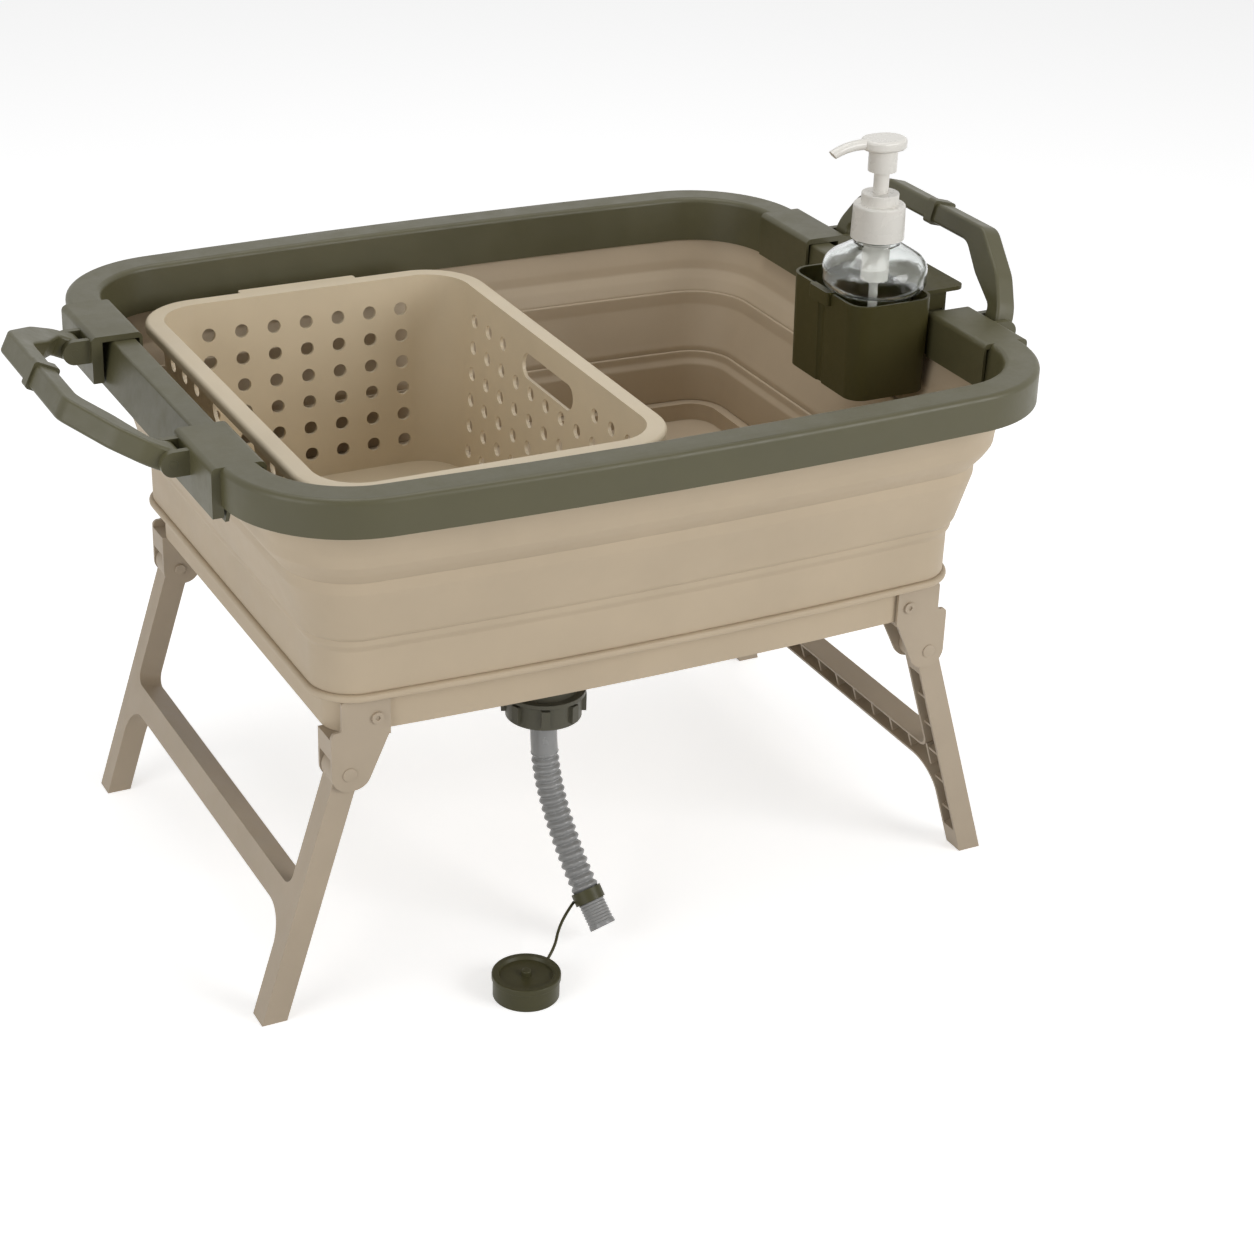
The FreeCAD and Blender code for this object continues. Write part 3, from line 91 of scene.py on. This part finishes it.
TETHER = [(-50.3, -169.6, 30.3), (-61.3, -179.8, 30.0), (-72.5, -190.3, 24.9), (-81.3, -203.6, 21.0),
          (-88.8, -207.6, 15.3)]

SPRING_RADIUS = 5.5 * MM
SPRING_WIRE = 0.45 * MM
SPRING_TURNS = 7

# how a copy of a CAD node is cleaned, angles in degrees
SHARP_ANGLE = 38
FLAT_ANGLE = 0.4
MERGE_REACH = 2e-6
POINT_RADIUS = 1e-6

# the stage: name, place, size and power of each lamp, then floor, world and camera
LAMPS = (("key", (1.5, -2.3, 1.3), 1.7, 38), ("fill", (-2.5, -1.0, 1.1), 2.0, 27),
         ("top", (0.1, 0.3, 2.4), 1.6, 17))
LAMP_TARGET = (0, 0, 0.3)
FLOOR_HALF = 9
FLOOR_DROP = 0.0002
FLOOR_TONE = 0.86
FLOOR_GLOW = 0.57
WORLD_LIGHTING = 0.27
WORLD_SEEN = 1.0
CAMERA_PLACE = (-0.797, -1.651, 1.0777)
CAMERA_TURN = (27.834, 26.481, 1.961)
CAMERA_SENSOR = 36
CAMERA_END = 60
PICTURE_WIDTH = 1254
FOCAL_PIXELS = 2730.8


# ---------------------------------------------------------------- sizes and colours


def colour(name, note, value):
    """A colour that the panel shows."""
    return bpy.props.FloatVectorProperty(name=name, description=note, subtype="COLOR", size=3, min=0, max=1,
                                         default=value)


def size(name, note, value):
    """A length that the panel shows."""
    return bpy.props.FloatProperty(name=name, description=note, subtype="DISTANCE", unit="LENGTH", min=0,
                                   default=value)


class WashSizes(bpy.types.PropertyGroup):
    """Sizes of the surfaces that are added to the frame."""
    wall: size("Wall", "Thickness of the folding wall", 2.4 * MM)
    fold_round: size("Fold rounding", "How far a fold of the wall is rounded", 1.4 * MM)
    edge: size("Edge rounding", "Rounding of moulded edges", 0.7 * MM)
    hose_radius: size("Hose radius", "Radius over the hose's ribs", 10 * MM)
    hose_root: size("Hose root", "Radius between the hose's ribs", 8.0 * MM)
    hose_bore: size("Hose bore", "Inner radius of the hose", 7.4 * MM)
    rib_pitch: size("Rib pitch", "Distance from rib to rib", 6.2 * MM)
    tether_radius: size("Tether radius", "Half thickness of the cap's tether", 1.1 * MM)


class WashColours(bpy.types.PropertyGroup):
    """Colours of the mouldings."""
    olive: colour("Olive", "Rim, saddles and handles", (0.082, 0.075, 0.035))
    cup: colour("Cup", "Soap cup", (0.054, 0.047, 0.014))
    wall: colour("Wall", "Folding wall and base", (0.500, 0.405, 0.286))
    leg: colour("Legs", "Leg frames, brackets and feet", (0.420, 0.342, 0.250))
    basket: colour("Basket", "Lift-out basket", (0.640, 0.540, 0.385))
    drain: colour("Drain", "Drain body and nut", (0.085, 0.080, 0.055))
    hose: colour("Hose", "Ribbed drain hose", (0.270, 0.270, 0.265))
    cap: colour("Cap", "Drain cap, strap and tether", (0.060, 0.056, 0.024))
    pump: colour("Pump", "Pump and collar", (0.760, 0.735, 0.680))
    steel: colour("Steel", "Pins, screws and spring", (0.560, 0.560, 0.550))
    seal: colour("Seal", "Gasket and seals", (0.020, 0.020, 0.020))


# ---------------------------------------------------------------- finishes


def node(tree, kind, **sockets):
    """A shader node whose sockets hold the given constants; an underscore stands for a space."""
    made = tree.nodes.new(kind)
    for name, value in sockets.items():
        made.inputs[name.replace("_", " ")].default_value = value
    return made


def moulded(name, tint, rough, grain=420.0, depth=0.00006, mottle=0.07, ior=1.49, metallic=0.0,
            specular=0.5):
    """Moulded plastic: its tint drifts by mottle over some centimetres and its gloss over shorter ones, with
    fine grain in the normals."""
    found = bpy.data.materials.get(name)
    if found:
        return found
    made = bpy.data.materials.new(name)
    made.use_nodes = True
    tree = made.node_tree
    shader = tree.nodes["Principled BSDF"]
    place = tree.nodes.new("ShaderNodeTexCoord").outputs["Object"]
    drift = node(tree, "ShaderNodeTexNoise", Scale=14.0, Detail=4.0, Roughness=0.6)
    ramp = tree.nodes.new("ShaderNodeValToRGB")
    ramp.color_ramp.elements[0].position = 0.3
    ramp.color_ramp.elements[1].position = 0.7
    ramp.color_ramp.elements[0].color = (*[c * (1 - mottle) for c in tint], 1)
    ramp.color_ramp.elements[1].color = (*[min(c * (1 + mottle), 1) for c in tint], 1)
    fine = node(tree, "ShaderNodeTexNoise", Scale=grain, Detail=3.0, Roughness=0.55)
    bump = node(tree, "ShaderNodeBump", Strength=0.55, Distance=depth)
    haze = node(tree, "ShaderNodeTexNoise", Scale=55.0, Detail=5.0, Roughness=0.65)
    gloss = node(tree, "ShaderNodeMapRange", From_Min=0.3, From_Max=0.7, To_Min=rough - 0.06,
                 To_Max=rough + 0.07)
    links = tree.links
    for noise in (drift, fine, haze):
        links.new(place, noise.inputs["Vector"])
    links.new(drift.outputs["Fac"], ramp.inputs["Fac"])
    links.new(ramp.outputs["Color"], shader.inputs["Base Color"])
    links.new(fine.outputs["Fac"], bump.inputs["Height"])
    links.new(bump.outputs["Normal"], shader.inputs["Normal"])
    links.new(haze.outputs["Fac"], gloss.inputs["Value"])
    links.new(gloss.outputs["Result"], shader.inputs["Roughness"])
    shader.inputs["IOR"].default_value = ior
    shader.inputs["Metallic"].default_value = metallic
    shader.inputs["Specular IOR Level"].default_value = specular
    return made


def clear_plastic(name):
    """Clear bottle plastic: nearly no colour, light passes through, faint ripples."""
    made = moulded(name, (0.93, 0.95, 0.94), 0.08, grain=60.0, depth=0.00012, mottle=0.01, ior=1.45)
    made.node_tree.nodes["Principled BSDF"].inputs["Transmission Weight"].default_value = 1.0
    return made


def finishes(context):
    """All finishes by name, made once from the chosen colours."""
    c = context.scene.wash_colours
    return {
        "olive": moulded("olive_moulding", c.olive, 0.42, specular=0.45),
        "cup": moulded("cup_moulding", c.cup, 0.44, specular=0.26),
        "wall": moulded("wall_rubber", c.wall, 0.56, grain=520.0, mottle=0.04, ior=1.43),
        "leg": moulded("leg_moulding", c.leg, 0.50, mottle=0.05),
        "basket": moulded("basket_moulding", c.basket, 0.46, mottle=0.04),
        "drain": moulded("drain_moulding", c.drain, 0.38, specular=0.3),
        "hose": moulded("hose_ribbed", c.hose, 0.24, grain=260.0, depth=0.00002),
        "cap": moulded("cap_moulding", c.cap, 0.40, specular=0.26),
        "pump": moulded("pump_gloss", c.pump, 0.28, grain=300.0, depth=0.000003, mottle=0.015),
        "steel": moulded("brushed_steel", c.steel, 0.34, grain=900.0, mottle=0.03, metallic=1.0),
        "seal": moulded("black_seal", c.seal, 0.60),
        "clear": clear_plastic("clear_bottle"),
    }


# ---------------------------------------------------------------- surfaces


def quads(rows, columns, open_rows):
    """Faces of a grid that closes across its columns, and across its rows unless they are open: each point
    is joined to the next of its row and of its column."""
    r, c = np.meshgrid(np.arange(rows - 1 if open_rows else rows), np.arange(columns), indexing="ij")
    r2, c2 = (r + 1) % rows, (c + 1) % columns
    corners = [r * columns + c, r * columns + c2, r2 * columns + c2, r2 * columns + c]
    return np.stack(corners, -1).reshape(-1, 4)


def shell(name, points, open_rows=False):
    """A closed shell from an array of rows x columns x 3 points, its faces pointing outwards. Open rows end
    in rings that are drawn to a point."""
    mesh = bpy.data.meshes.new(name)
    rows, columns = points.shape[:2]
    faces = quads(rows, columns, open_rows).tolist()
    if open_rows:
        faces += [list(range(columns)), list(range((rows - 1) * columns, rows * columns))]
    mesh.from_pydata(points.reshape(-1, 3).tolist(), [], faces)
    face_out(mesh)
    made = bpy.data.objects.new(name, mesh)
    bpy.context.scene.collection.objects.link(made)
    return made


def face_out(mesh):
    """Turns a closed mesh's faces outwards and shades it smooth."""
    work = bmesh.new()
    work.from_mesh(mesh)
    bmesh.ops.recalc_face_normals(work, faces=work.faces)
    work.to_mesh(mesh)
    work.free()
    mesh.polygons.foreach_set("use_smooth", np.ones(len(mesh.polygons), dtype=bool))
    mesh.update()


def rounded(corners, reach, steps=5):
    """Closed loop with each corner p cut by the curve (1-t)^2 a + 2t(1-t) p + t^2 b.
    a and b lie on the neighbouring sides, at most reach and at most 0.45 of the side away from p."""
    p = np.asarray(corners, dtype=float)
    back, ahead = np.roll(p, 1, axis=0) - p, np.roll(p, -1, axis=0) - p
    back_length = np.linalg.norm(back, axis=1, keepdims=True)
    ahead_length = np.linalg.norm(ahead, axis=1, keepdims=True)
    a = p + back * np.minimum(reach / back_length, 0.45)
    b = p + ahead * np.minimum(reach / ahead_length, 0.45)
    t = np.linspace(0, 1, steps)[None, :, None]
    return ((1 - t) ** 2 * a[:, None] + 2 * t * (1 - t) * p[:, None] + t ** 2 * b[:, None]).reshape(-1, 2)


def plan(inset, corner=16, side=26):
    """Plan of the tub, drawn in by inset: for a from 0 to T the corner centre + (R - inset)(cos a, sin a),
    then for b from B to 0 the bow's centre + (Q - inset)(sin b, cos b); the other quarters mirror it."""
    inset = np.asarray(inset, dtype=float)[:, None]
    bend = math.asin(CORNER_X / (BOW_RADIUS - CORNER_RADIUS))
    a = np.linspace(0, math.pi / 2 - bend, corner)[None]
    b = np.linspace(bend, 0, side)[None, 1:]
    x = np.concatenate([CORNER_X + (CORNER_RADIUS - inset) * np.cos(a), (BOW_RADIUS - inset) * np.sin(b)], 1)
    y = np.concatenate([CORNER_Y + (CORNER_RADIUS - inset) * np.sin(a),
                        BOW_CENTRE + (BOW_RADIUS - inset) * np.cos(b)], 1)
    x = np.concatenate([x, -x[:, -2::-1]], 1)
    y = np.concatenate([y, y[:, -2::-1]], 1)
    return np.concatenate([x, -x], 1), np.concatenate([y, -y], 1)


def band(name, profile, rise, wall, fold):
    """A tier of the wall, carried round the plan: its outer line, closed by the same line a wall further in
    and rise times a wall higher. Where it rises, it comes back straight above the outer line's end."""
    outer = np.asarray(profile, dtype=float) * MM
    inner = outer + wall * np.stack([np.ones(len(outer)), np.asarray(rise, dtype=float)], 1)
    if any(rise):
        inner[-1] = outer[-1] + (0, wall)
    section = rounded(np.concatenate([outer, inner[::-1]]), fold)
    x, y = plan(section[:, 0])
    z = np.broadcast_to(section[:, 1:], x.shape)
    return shell(name, np.stack([x + tub_x, y + tub_y, z], -1))


def centreline(route):
    """Points along a cord's route, read from the NURBS line that has the route as its control points."""
    made = cord_curve("line", route)
    made.data.resolution_u = 24
    bpy.context.view_layer.update()
    mesh = bpy.data.meshes.new_from_object(made)
    points = np.empty(len(mesh.vertices) * 3)
    mesh.vertices.foreach_get("co", points)
    bpy.data.meshes.remove(mesh)
    bpy.data.objects.remove(made)
    return points.reshape(-1, 3)


def cord_curve(name, route):
    """One open NURBS line with the route as its control points, moved to where the tub stands."""
    curve = bpy.data.curves.new(name, "CURVE")
    curve.dimensions = "3D"
    spline = curve.splines.new("NURBS")
    spline.points.add(len(route) - 1)
    points = np.ones((len(route), 4))
    points[:, :3] = np.asarray(route, dtype=float) * MM + (tub_x, tub_y, 0)
    spline.points.foreach_set("co", points.ravel())
    spline.order_u = 3
    spline.use_endpoint_u = True
    made = bpy.data.objects.new(name, curve)
    bpy.context.scene.collection.objects.link(made)
    return made


def tube(name, line, along, radii, around=40):
    """Closed tube: at each distance along the line, a ring of the given radius square to the line."""
    steps = np.concatenate([[0], np.cumsum(np.linalg.norm(np.diff(line, axis=0), axis=1))])
    centre = np.stack([np.interp(along, steps, line[:, k]) for k in range(3)], -1)
    slope = np.gradient(line, steps, axis=0)
    heading = np.stack([np.interp(along, steps, slope[:, k]) for k in range(3)], -1)
    heading /= np.linalg.norm(heading, axis=1, keepdims=True)
    side = np.cross(heading, (1.0, 0.0, 0.0))
    side /= np.linalg.norm(side, axis=1, keepdims=True)
    up = np.cross(side, heading)
    turn = np.linspace(0, 2 * math.pi, around, endpoint=False)[None, :, None]
    ring = np.cos(turn) * side[:, None] + np.sin(turn) * up[:, None]
    return shell(name, centre[:, None] + ring * radii[:, None, None])


def coil(name, centre, low, high, radius, wire, turns):
    """Spring wire round the helix (R cos a, R sin a, low + rise a), the wire's ring of radius r square to
    the helix and drawn to a point at both ends."""
    a = np.linspace(0, 2 * math.pi * turns, 40 * turns + 1)
    rise = (high - low - 2 * wire) / a[-1]
    out = np.stack([np.cos(a), np.sin(a), np.zeros_like(a)], -1)
    along = np.stack([-radius * np.sin(a), radius * np.cos(a), np.full_like(a, rise)], -1)
    along /= np.linalg.norm(along, axis=1, keepdims=True)
    up = np.cross(along, out)
    middle = np.stack([np.full_like(a, centre[0]), np.full_like(a, centre[1]), low + wire + rise * a], -1)
    spine = out * radius + middle
    turn = np.linspace(0, 2 * math.pi, 10, endpoint=False)[None, :, None]
    thick = np.full(len(a), wire)
    thick[[0, -1]] = POINT_RADIUS
    ring = np.cos(turn) * out[:, None] + np.sin(turn) * up[:, None]
    return shell(name, spine[:, None] + ring * thick[:, None, None], open_rows=True)


# ---------------------------------------------------------------- placing


def place(made, body, finish, slot, *nodes):
    """Gives a piece its finish, the body it rides on and the CAD nodes it stands for; slot is not used."""
    made.data.materials.clear()
    made.data.materials.append(finish)
    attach(made, body)
    if nodes:
        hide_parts(*nodes)
    return made


def softened(source, body, finish, slot, edge, limit=SHARP_ANGLE):
    """A copy of a CAD node: doubles merged, edges sharper than limit rounded and flat triangles joined.
    With no edge it is a curved piece that keeps its triangles."""
    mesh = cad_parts[source].data.copy()
    mesh.name = source + "_finished"
    kept = mesh.attributes.get("custom_normal")
    if kept:
        mesh.attributes.remove(kept)
    work = bmesh.new()
    work.from_mesh(mesh)
    bmesh.ops.remove_doubles(work, verts=work.verts, dist=MERGE_REACH)
    if edge:
        bmesh.ops.dissolve_limit(work, angle_limit=math.radians(FLAT_ANGLE), verts=work.verts,
                                 edges=work.edges)
    work.to_mesh(mesh)
    work.free()
    mesh.polygons.foreach_set("use_smooth", np.ones(len(mesh.polygons), dtype=bool))
    mesh.set_sharp_from_angle(angle=math.radians(limit))
    made = bpy.data.objects.new(source + "_finished", mesh)
    bpy.context.scene.collection.objects.link(made)
    if edge:
        bevel = made.modifiers.new("edges", "BEVEL")
        bevel.width = edge
        bevel.segments = 2
        bevel.limit_method = "ANGLE"
        bevel.angle_limit = math.radians(limit)
        bevel.use_clamp_overlap = True
    weighted = made.modifiers.new("normals", "WEIGHTED_NORMAL")
    weighted.keep_sharp = True
    return place(made, body, finish, slot, source)


def dress(source, finish):
    """A CAD node that stays as it is gets its finish."""
    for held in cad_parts[source].material_slots:
        held.material = finish


# ---------------------------------------------------------------- pieces


class WASH_OT_walls(bpy.types.Operator):
    """Builds the three tiers of the folding wall"""
    bl_idname = "wash.walls"
    bl_label = "Folding wall"

    def execute(self, context):
        s, f = context.scene.wash_sizes, finishes(context)
        for name, profile, rise, body in (("wall_upper", UPPER, UPPER_RISE, "rim"),
                                          ("wall_middle", MIDDLE, MIDDLE_RISE, "middle_tier"),
                                          ("wall_lower", LOWER, LOWER_RISE, "root")):
            made = band(name + "_surface", profile, rise, s.wall, s.fold_round)
            place(made, body, f["wall"], "beige_rubber", name)
        return {"FINISHED"}


class WASH_OT_base(bpy.types.Operator):
    """Finishes the base pan, the leg brackets and their screws"""
    bl_idname = "wash.base"
    bl_label = "Base and brackets"

    def execute(self, context):
        s, f = context.scene.wash_sizes, finishes(context)
        softened("base_pan", "root", f["wall"], "beige_plastic", s.edge)
        for side in ("back_right", "back_left", "front_right", "front_left"):
            softened("leg_bracket_" + side, "root", f["leg"], "beige_plastic", s.edge)
        softened("leg_pins", "root", f["leg"], "beige_plastic", s.edge / 2)
        dress("bracket_screws", f["leg"])
        return {"FINISHED"}


class WASH_OT_legs(bpy.types.Operator):
    """Finishes the leg frames and their feet"""
    bl_idname = "wash.legs"
    bl_label = "Legs"

    def execute(self, context):
        s, f = context.scene.wash_sizes, finishes(context)
        for side in ("right", "left"):
            softened("leg_frame_" + side, "leg_" + side, f["leg"], "beige_plastic", s.edge)
            softened("feet_" + side, "leg_" + side, f["leg"], "beige_plastic", s.edge / 2)
        return {"FINISHED"}


class WASH_OT_rim(bpy.types.Operator):
    """Finishes the rim, its saddles and the clamp ring"""
    bl_idname = "wash.rim"
    bl_label = "Rim"

    def execute(self, context):
        s, f = context.scene.wash_sizes, finishes(context)
        softened("rim_shell", "rim", f["olive"], "olive_plastic", s.edge)
        for side in ("back_right", "back_left", "front_right", "front_left"):
            softened("saddle_" + side, "rim", f["olive"], "olive_plastic", 2 * s.edge)
        dress("rim_clamp_ring", f["olive"])
        return {"FINISHED"}


class WASH_OT_handles(bpy.types.Operator):
    """Finishes the two bail handles and their pins"""
    bl_idname = "wash.handles"
    bl_label = "Handles"

    def execute(self, context):
        s, f = context.scene.wash_sizes, finishes(context)
        for side in ("right", "left"):
            softened("handle_" + side, "handle_" + side, f["olive"], "olive_plastic", s.edge)
        dress("handle_pins", f["olive"])
        return {"FINISHED"}


class WASH_OT_latches(bpy.types.Operator):
    """Finishes the storage latches, their pins and catches"""
    bl_idname = "wash.latches"
    bl_label = "Latches"

    def execute(self, context):
        s, f = context.scene.wash_sizes, finishes(context)
        for side in ("right", "left"):
            softened("latch_" + side, "latch_" + side, f["olive"], "olive_plastic", s.edge / 2)
        softened("latch_catches", "root", f["leg"], "beige_plastic", s.edge / 2)
        dress("latch_pins", f["steel"])
        return {"FINISHED"}


class WASH_OT_basket(bpy.types.Operator):
    """Finishes the lift-out basket"""
    bl_idname = "wash.basket"
    bl_label = "Basket"

    def execute(self, context):
        s, f = context.scene.wash_sizes, finishes(context)
        softened("basket", "basket", f["basket"], "basket_plastic", s.edge)
        return {"FINISHED"}


class WASH_OT_soap(bpy.types.Operator):
    """Finishes the soap cup, the bottle and its pump"""
    bl_idname = "wash.soap"
    bl_label = "Soap cup and bottle"

    def execute(self, context):
        s, f = context.scene.wash_sizes, finishes(context)
        softened("soap_cup", "soap_cup", f["cup"], "olive_plastic", s.edge)
        softened("soap_bottle", "bottle", f["clear"], "clear_plastic", 0)
        softened("bottle_collar", "bottle", f["pump"], "white_plastic", 0)
        softened("pump_body", "bottle", f["pump"], "white_plastic", 0)
        softened("pump_head", "pump_head", f["pump"], "white_plastic", 0)
        softened("dip_tube", "bottle", f["pump"], "white_plastic", 0)
        low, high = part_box("pump_spring")
        middle = ((low.x + high.x) / 2, (low.y + high.y) / 2)
        wound = coil("pump_spring_coil", middle, low.z, high.z, SPRING_RADIUS, SPRING_WIRE, SPRING_TURNS)
        place(wound, "bottle", f["steel"], "steel", "pump_spring")
        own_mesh(wound)
        return {"FINISHED"}


class WASH_OT_drain(bpy.types.Operator):
    """Finishes the drain: body, nuts, seals and strainer"""
    bl_idname = "wash.drain"
    bl_label = "Drain"

    def execute(self, context):
        s, f = context.scene.wash_sizes, finishes(context)
        for source in ("drain_body", "hose_nut", "drain_locknut"):
            softened(source, "root", f["drain"], "drain_plastic", s.edge / 2)
        softened("drain_strainer", "root", f["drain"], "drain_plastic", 0)
        dress("drain_gasket", f["seal"])
        dress("hose_seal", f["seal"])
        return {"FINISHED"}


class WASH_OT_hose(bpy.types.Operator):
    """Builds the ribbed hose, its strap, the tether and the drain cap"""
    bl_idname = "wash.hose"
    bl_label = "Hose and cap"

    def execute(self, context):
        s, f = context.scene.wash_sizes, finishes(context)
        line = centreline(HOSE)
        total = float(np.linalg.norm(np.diff(line, axis=0), axis=1).sum())
        hose = self.ribbed(line, total, s)
        place(hose, "root", f["hose"], "hose_plastic", "drain_hose")
        strap = softened("hose_strap", "root", f["cap"], "drain_plastic", 0)
        tether = cord_curve("tether_line", TETHER)
        tether.data.bevel_depth = s.tether_radius
        tether.data.bevel_resolution = 4
        tether.data.use_fill_caps = True
        tether.data.resolution_u = 16
        place(tether, "root", f["cap"], "drain_plastic", "cap_tether")
        cap = softened("drain_cap", "root", f["cap"], "drain_plastic", s.edge / 2)
        return {"FINISHED"}

    def ribbed(self, line, total, s):
        """Radius over distance d: a smooth cuff, then root + depth times (1 + cos(2 pi d / pitch)) / 2
        raised to the rib power, then a sleeve with shallow close ribs; the bore goes back inside, so the
        shell is closed."""
        d = np.linspace(0, total, 900)
        swell = ((1 + np.cos(2 * math.pi * (d - HOSE_CUFF) / s.rib_pitch)) / 2) ** RIB_POWER
        radii = s.hose_root + (s.hose_radius - s.hose_root) * swell
        close = s.hose_radius - SLEEVE_INSET + SLEEVE_DEPTH * np.cos(2 * math.pi * d / SLEEVE_PITCH)
        radii = np.where(d < HOSE_CUFF, s.hose_radius - CUFF_INSET, radii)
        radii = np.where(d > total - HOSE_SLEEVE, close, radii)
        radii = np.where(d > total - HOSE_END, s.hose_radius - END_INSET, radii)
        back = np.linspace(total, 0, 60)
        along = np.concatenate([d, back])
        return tube("drain_hose_surface", line, along, np.concatenate([radii, np.full(60, s.hose_bore)]))


class WASH_OT_stage(bpy.types.Operator):
    """Builds the pale floor, the soft lights and the camera"""
    bl_idname = "wash.stage"
    bl_label = "Stage"

    def execute(self, context):
        scene = context.scene
        scene.view_settings.view_transform = "Standard"
        self.floor(scene)
        self.world(scene)
        for lamp in LAMPS:
            self.lamp(scene, *lamp)
        self.camera(scene)
        return {"FINISHED"}

    def seen(self, tree):
        """1 for camera, glossy and transmission rays, 0 for the rays that light the object."""
        path = tree.nodes.new("ShaderNodeLightPath")
        first = tree.nodes.new("ShaderNodeMath")
        second = tree.nodes.new("ShaderNodeMath")
        first.operation = second.operation = "MAXIMUM"
        tree.links.new(path.outputs["Is Camera Ray"], first.inputs[0])
        tree.links.new(path.outputs["Is Glossy Ray"], first.inputs[1])
        tree.links.new(first.outputs[0], second.inputs[0])
        tree.links.new(path.outputs["Is Transmission Ray"], second.inputs[1])
        return second.outputs[0]

    def floor(self, scene):
        """A pale floor that keeps shadows; a glow for the rays that see it lifts it to white."""
        made = bpy.data.materials.new("studio_floor")
        made.use_nodes = True
        tree = made.node_tree
        shader = tree.nodes["Principled BSDF"]
        shader.inputs["Base Color"].default_value = (FLOOR_TONE, FLOOR_TONE, FLOOR_TONE, 1)
        shader.inputs["Roughness"].default_value = 0.9
        shader.inputs["Specular IOR Level"].default_value = 0.0
        shader.inputs["Emission Color"].default_value = (1, 1, 1, 1)
        glow = tree.nodes.new("ShaderNodeMath")
        glow.operation = "MULTIPLY"
        glow.inputs[1].default_value = FLOOR_GLOW
        tree.links.new(self.seen(tree), glow.inputs[0])
        tree.links.new(glow.outputs[0], shader.inputs["Emission Strength"])
        mesh = bpy.data.meshes.new("studio_floor")
        corners = np.array([(-1, -1, 0), (1, -1, 0), (1, 1, 0), (-1, 1, 0)], dtype=float) * FLOOR_HALF
        mesh.from_pydata((corners - (0, 0, FLOOR_DROP)).tolist(), [], [(0, 1, 2, 3)])
        made_floor = bpy.data.objects.new("studio_floor", mesh)
        mesh.materials.append(made)
        scene.collection.objects.link(made_floor)

    def world(self, scene):
        """White all round, bright for the rays that see it and dimmer for the rays that light the object."""
        world = bpy.data.worlds.new("studio")
        scene.world = world
        world.use_nodes = True
        tree = world.node_tree
        strength = tree.nodes.new("ShaderNodeMapRange")
        strength.inputs["To Min"].default_value = WORLD_LIGHTING
        strength.inputs["To Max"].default_value = WORLD_SEEN
        tree.links.new(self.seen(tree), strength.inputs["Value"])
        shader = tree.nodes["Background"]
        shader.inputs["Color"].default_value = (1, 1, 1, 1)
        tree.links.new(strength.outputs["Result"], shader.inputs["Strength"])

    def lamp(self, scene, name, place_at, size, power):
        """A round soft lamp that points at the middle of the object."""
        light = bpy.data.lights.new(name, "AREA")
        light.shape = "DISK"
        light.size = size
        light.energy = power
        made = bpy.data.objects.new(name, light)
        made.location = place_at
        towards = Vector(LAMP_TARGET) - made.location
        made.rotation_euler = towards.to_track_quat("-Z", "Y").to_euler()
        scene.collection.objects.link(made)

    def camera(self, scene):
        """Turned by yaw, then down by pitch, then rolled about its own line of sight."""
        yaw, pitch, roll = np.radians(CAMERA_TURN)
        level = math.cos(pitch)
        ahead = np.array((math.sin(yaw) * level, math.cos(yaw) * level, -math.sin(pitch)))
        right = np.array((math.cos(yaw), -math.sin(yaw), 0.0))
        up = np.cross(right, ahead)
        across = math.cos(roll) * right + math.sin(roll) * up
        upward = -math.sin(roll) * right + math.cos(roll) * up
        turned = Matrix(np.stack([across, upward, -ahead], 1).tolist()).to_4x4()
        data = bpy.data.cameras.new("camera")
        data.sensor_fit = "HORIZONTAL"
        data.sensor_width = CAMERA_SENSOR
        data.lens = FOCAL_PIXELS / PICTURE_WIDTH * CAMERA_SENSOR
        data.clip_end = CAMERA_END
        made = bpy.data.objects.new("camera", data)
        x, y, z = CAMERA_PLACE
        made.matrix_world = Matrix.Translation((x + tub_x, y + tub_y, z)) @ turned
        scene.collection.objects.link(made)
        scene.camera = made


class WASH_PT_panel(bpy.types.Panel):
    """Lists the pieces of the wash station"""
    bl_label = "Wash station"
    bl_space_type = "VIEW_3D"
    bl_region_type = "UI"
    bl_category = "Wash station"

    def draw(self, context):
        for operator in PIECES:
            self.layout.operator(operator.bl_idname)
        for group in (context.scene.wash_sizes, context.scene.wash_colours):
            for name in group.__annotations__:
                self.layout.prop(group, name)


PIECES = (WASH_OT_walls, WASH_OT_base, WASH_OT_legs, WASH_OT_rim, WASH_OT_handles, WASH_OT_latches,
          WASH_OT_basket, WASH_OT_soap, WASH_OT_drain, WASH_OT_hose, WASH_OT_stage)
CLASSES = (WashSizes, WashColours, *PIECES, WASH_PT_panel)


def register():
    for cls in CLASSES:
        bpy.utils.register_class(cls)
    bpy.types.Scene.wash_sizes = bpy.props.PointerProperty(type=WashSizes)
    bpy.types.Scene.wash_colours = bpy.props.PointerProperty(type=WashColours)


def unregister():
    del bpy.types.Scene.wash_colours
    del bpy.types.Scene.wash_sizes
    for cls in reversed(CLASSES):
        bpy.utils.unregister_class(cls)


def main():
    register()
    for operator in PIECES:
        getattr(bpy.ops.wash, operator.bl_idname.split(".")[1])()


if __name__ == "__main__":
    main()
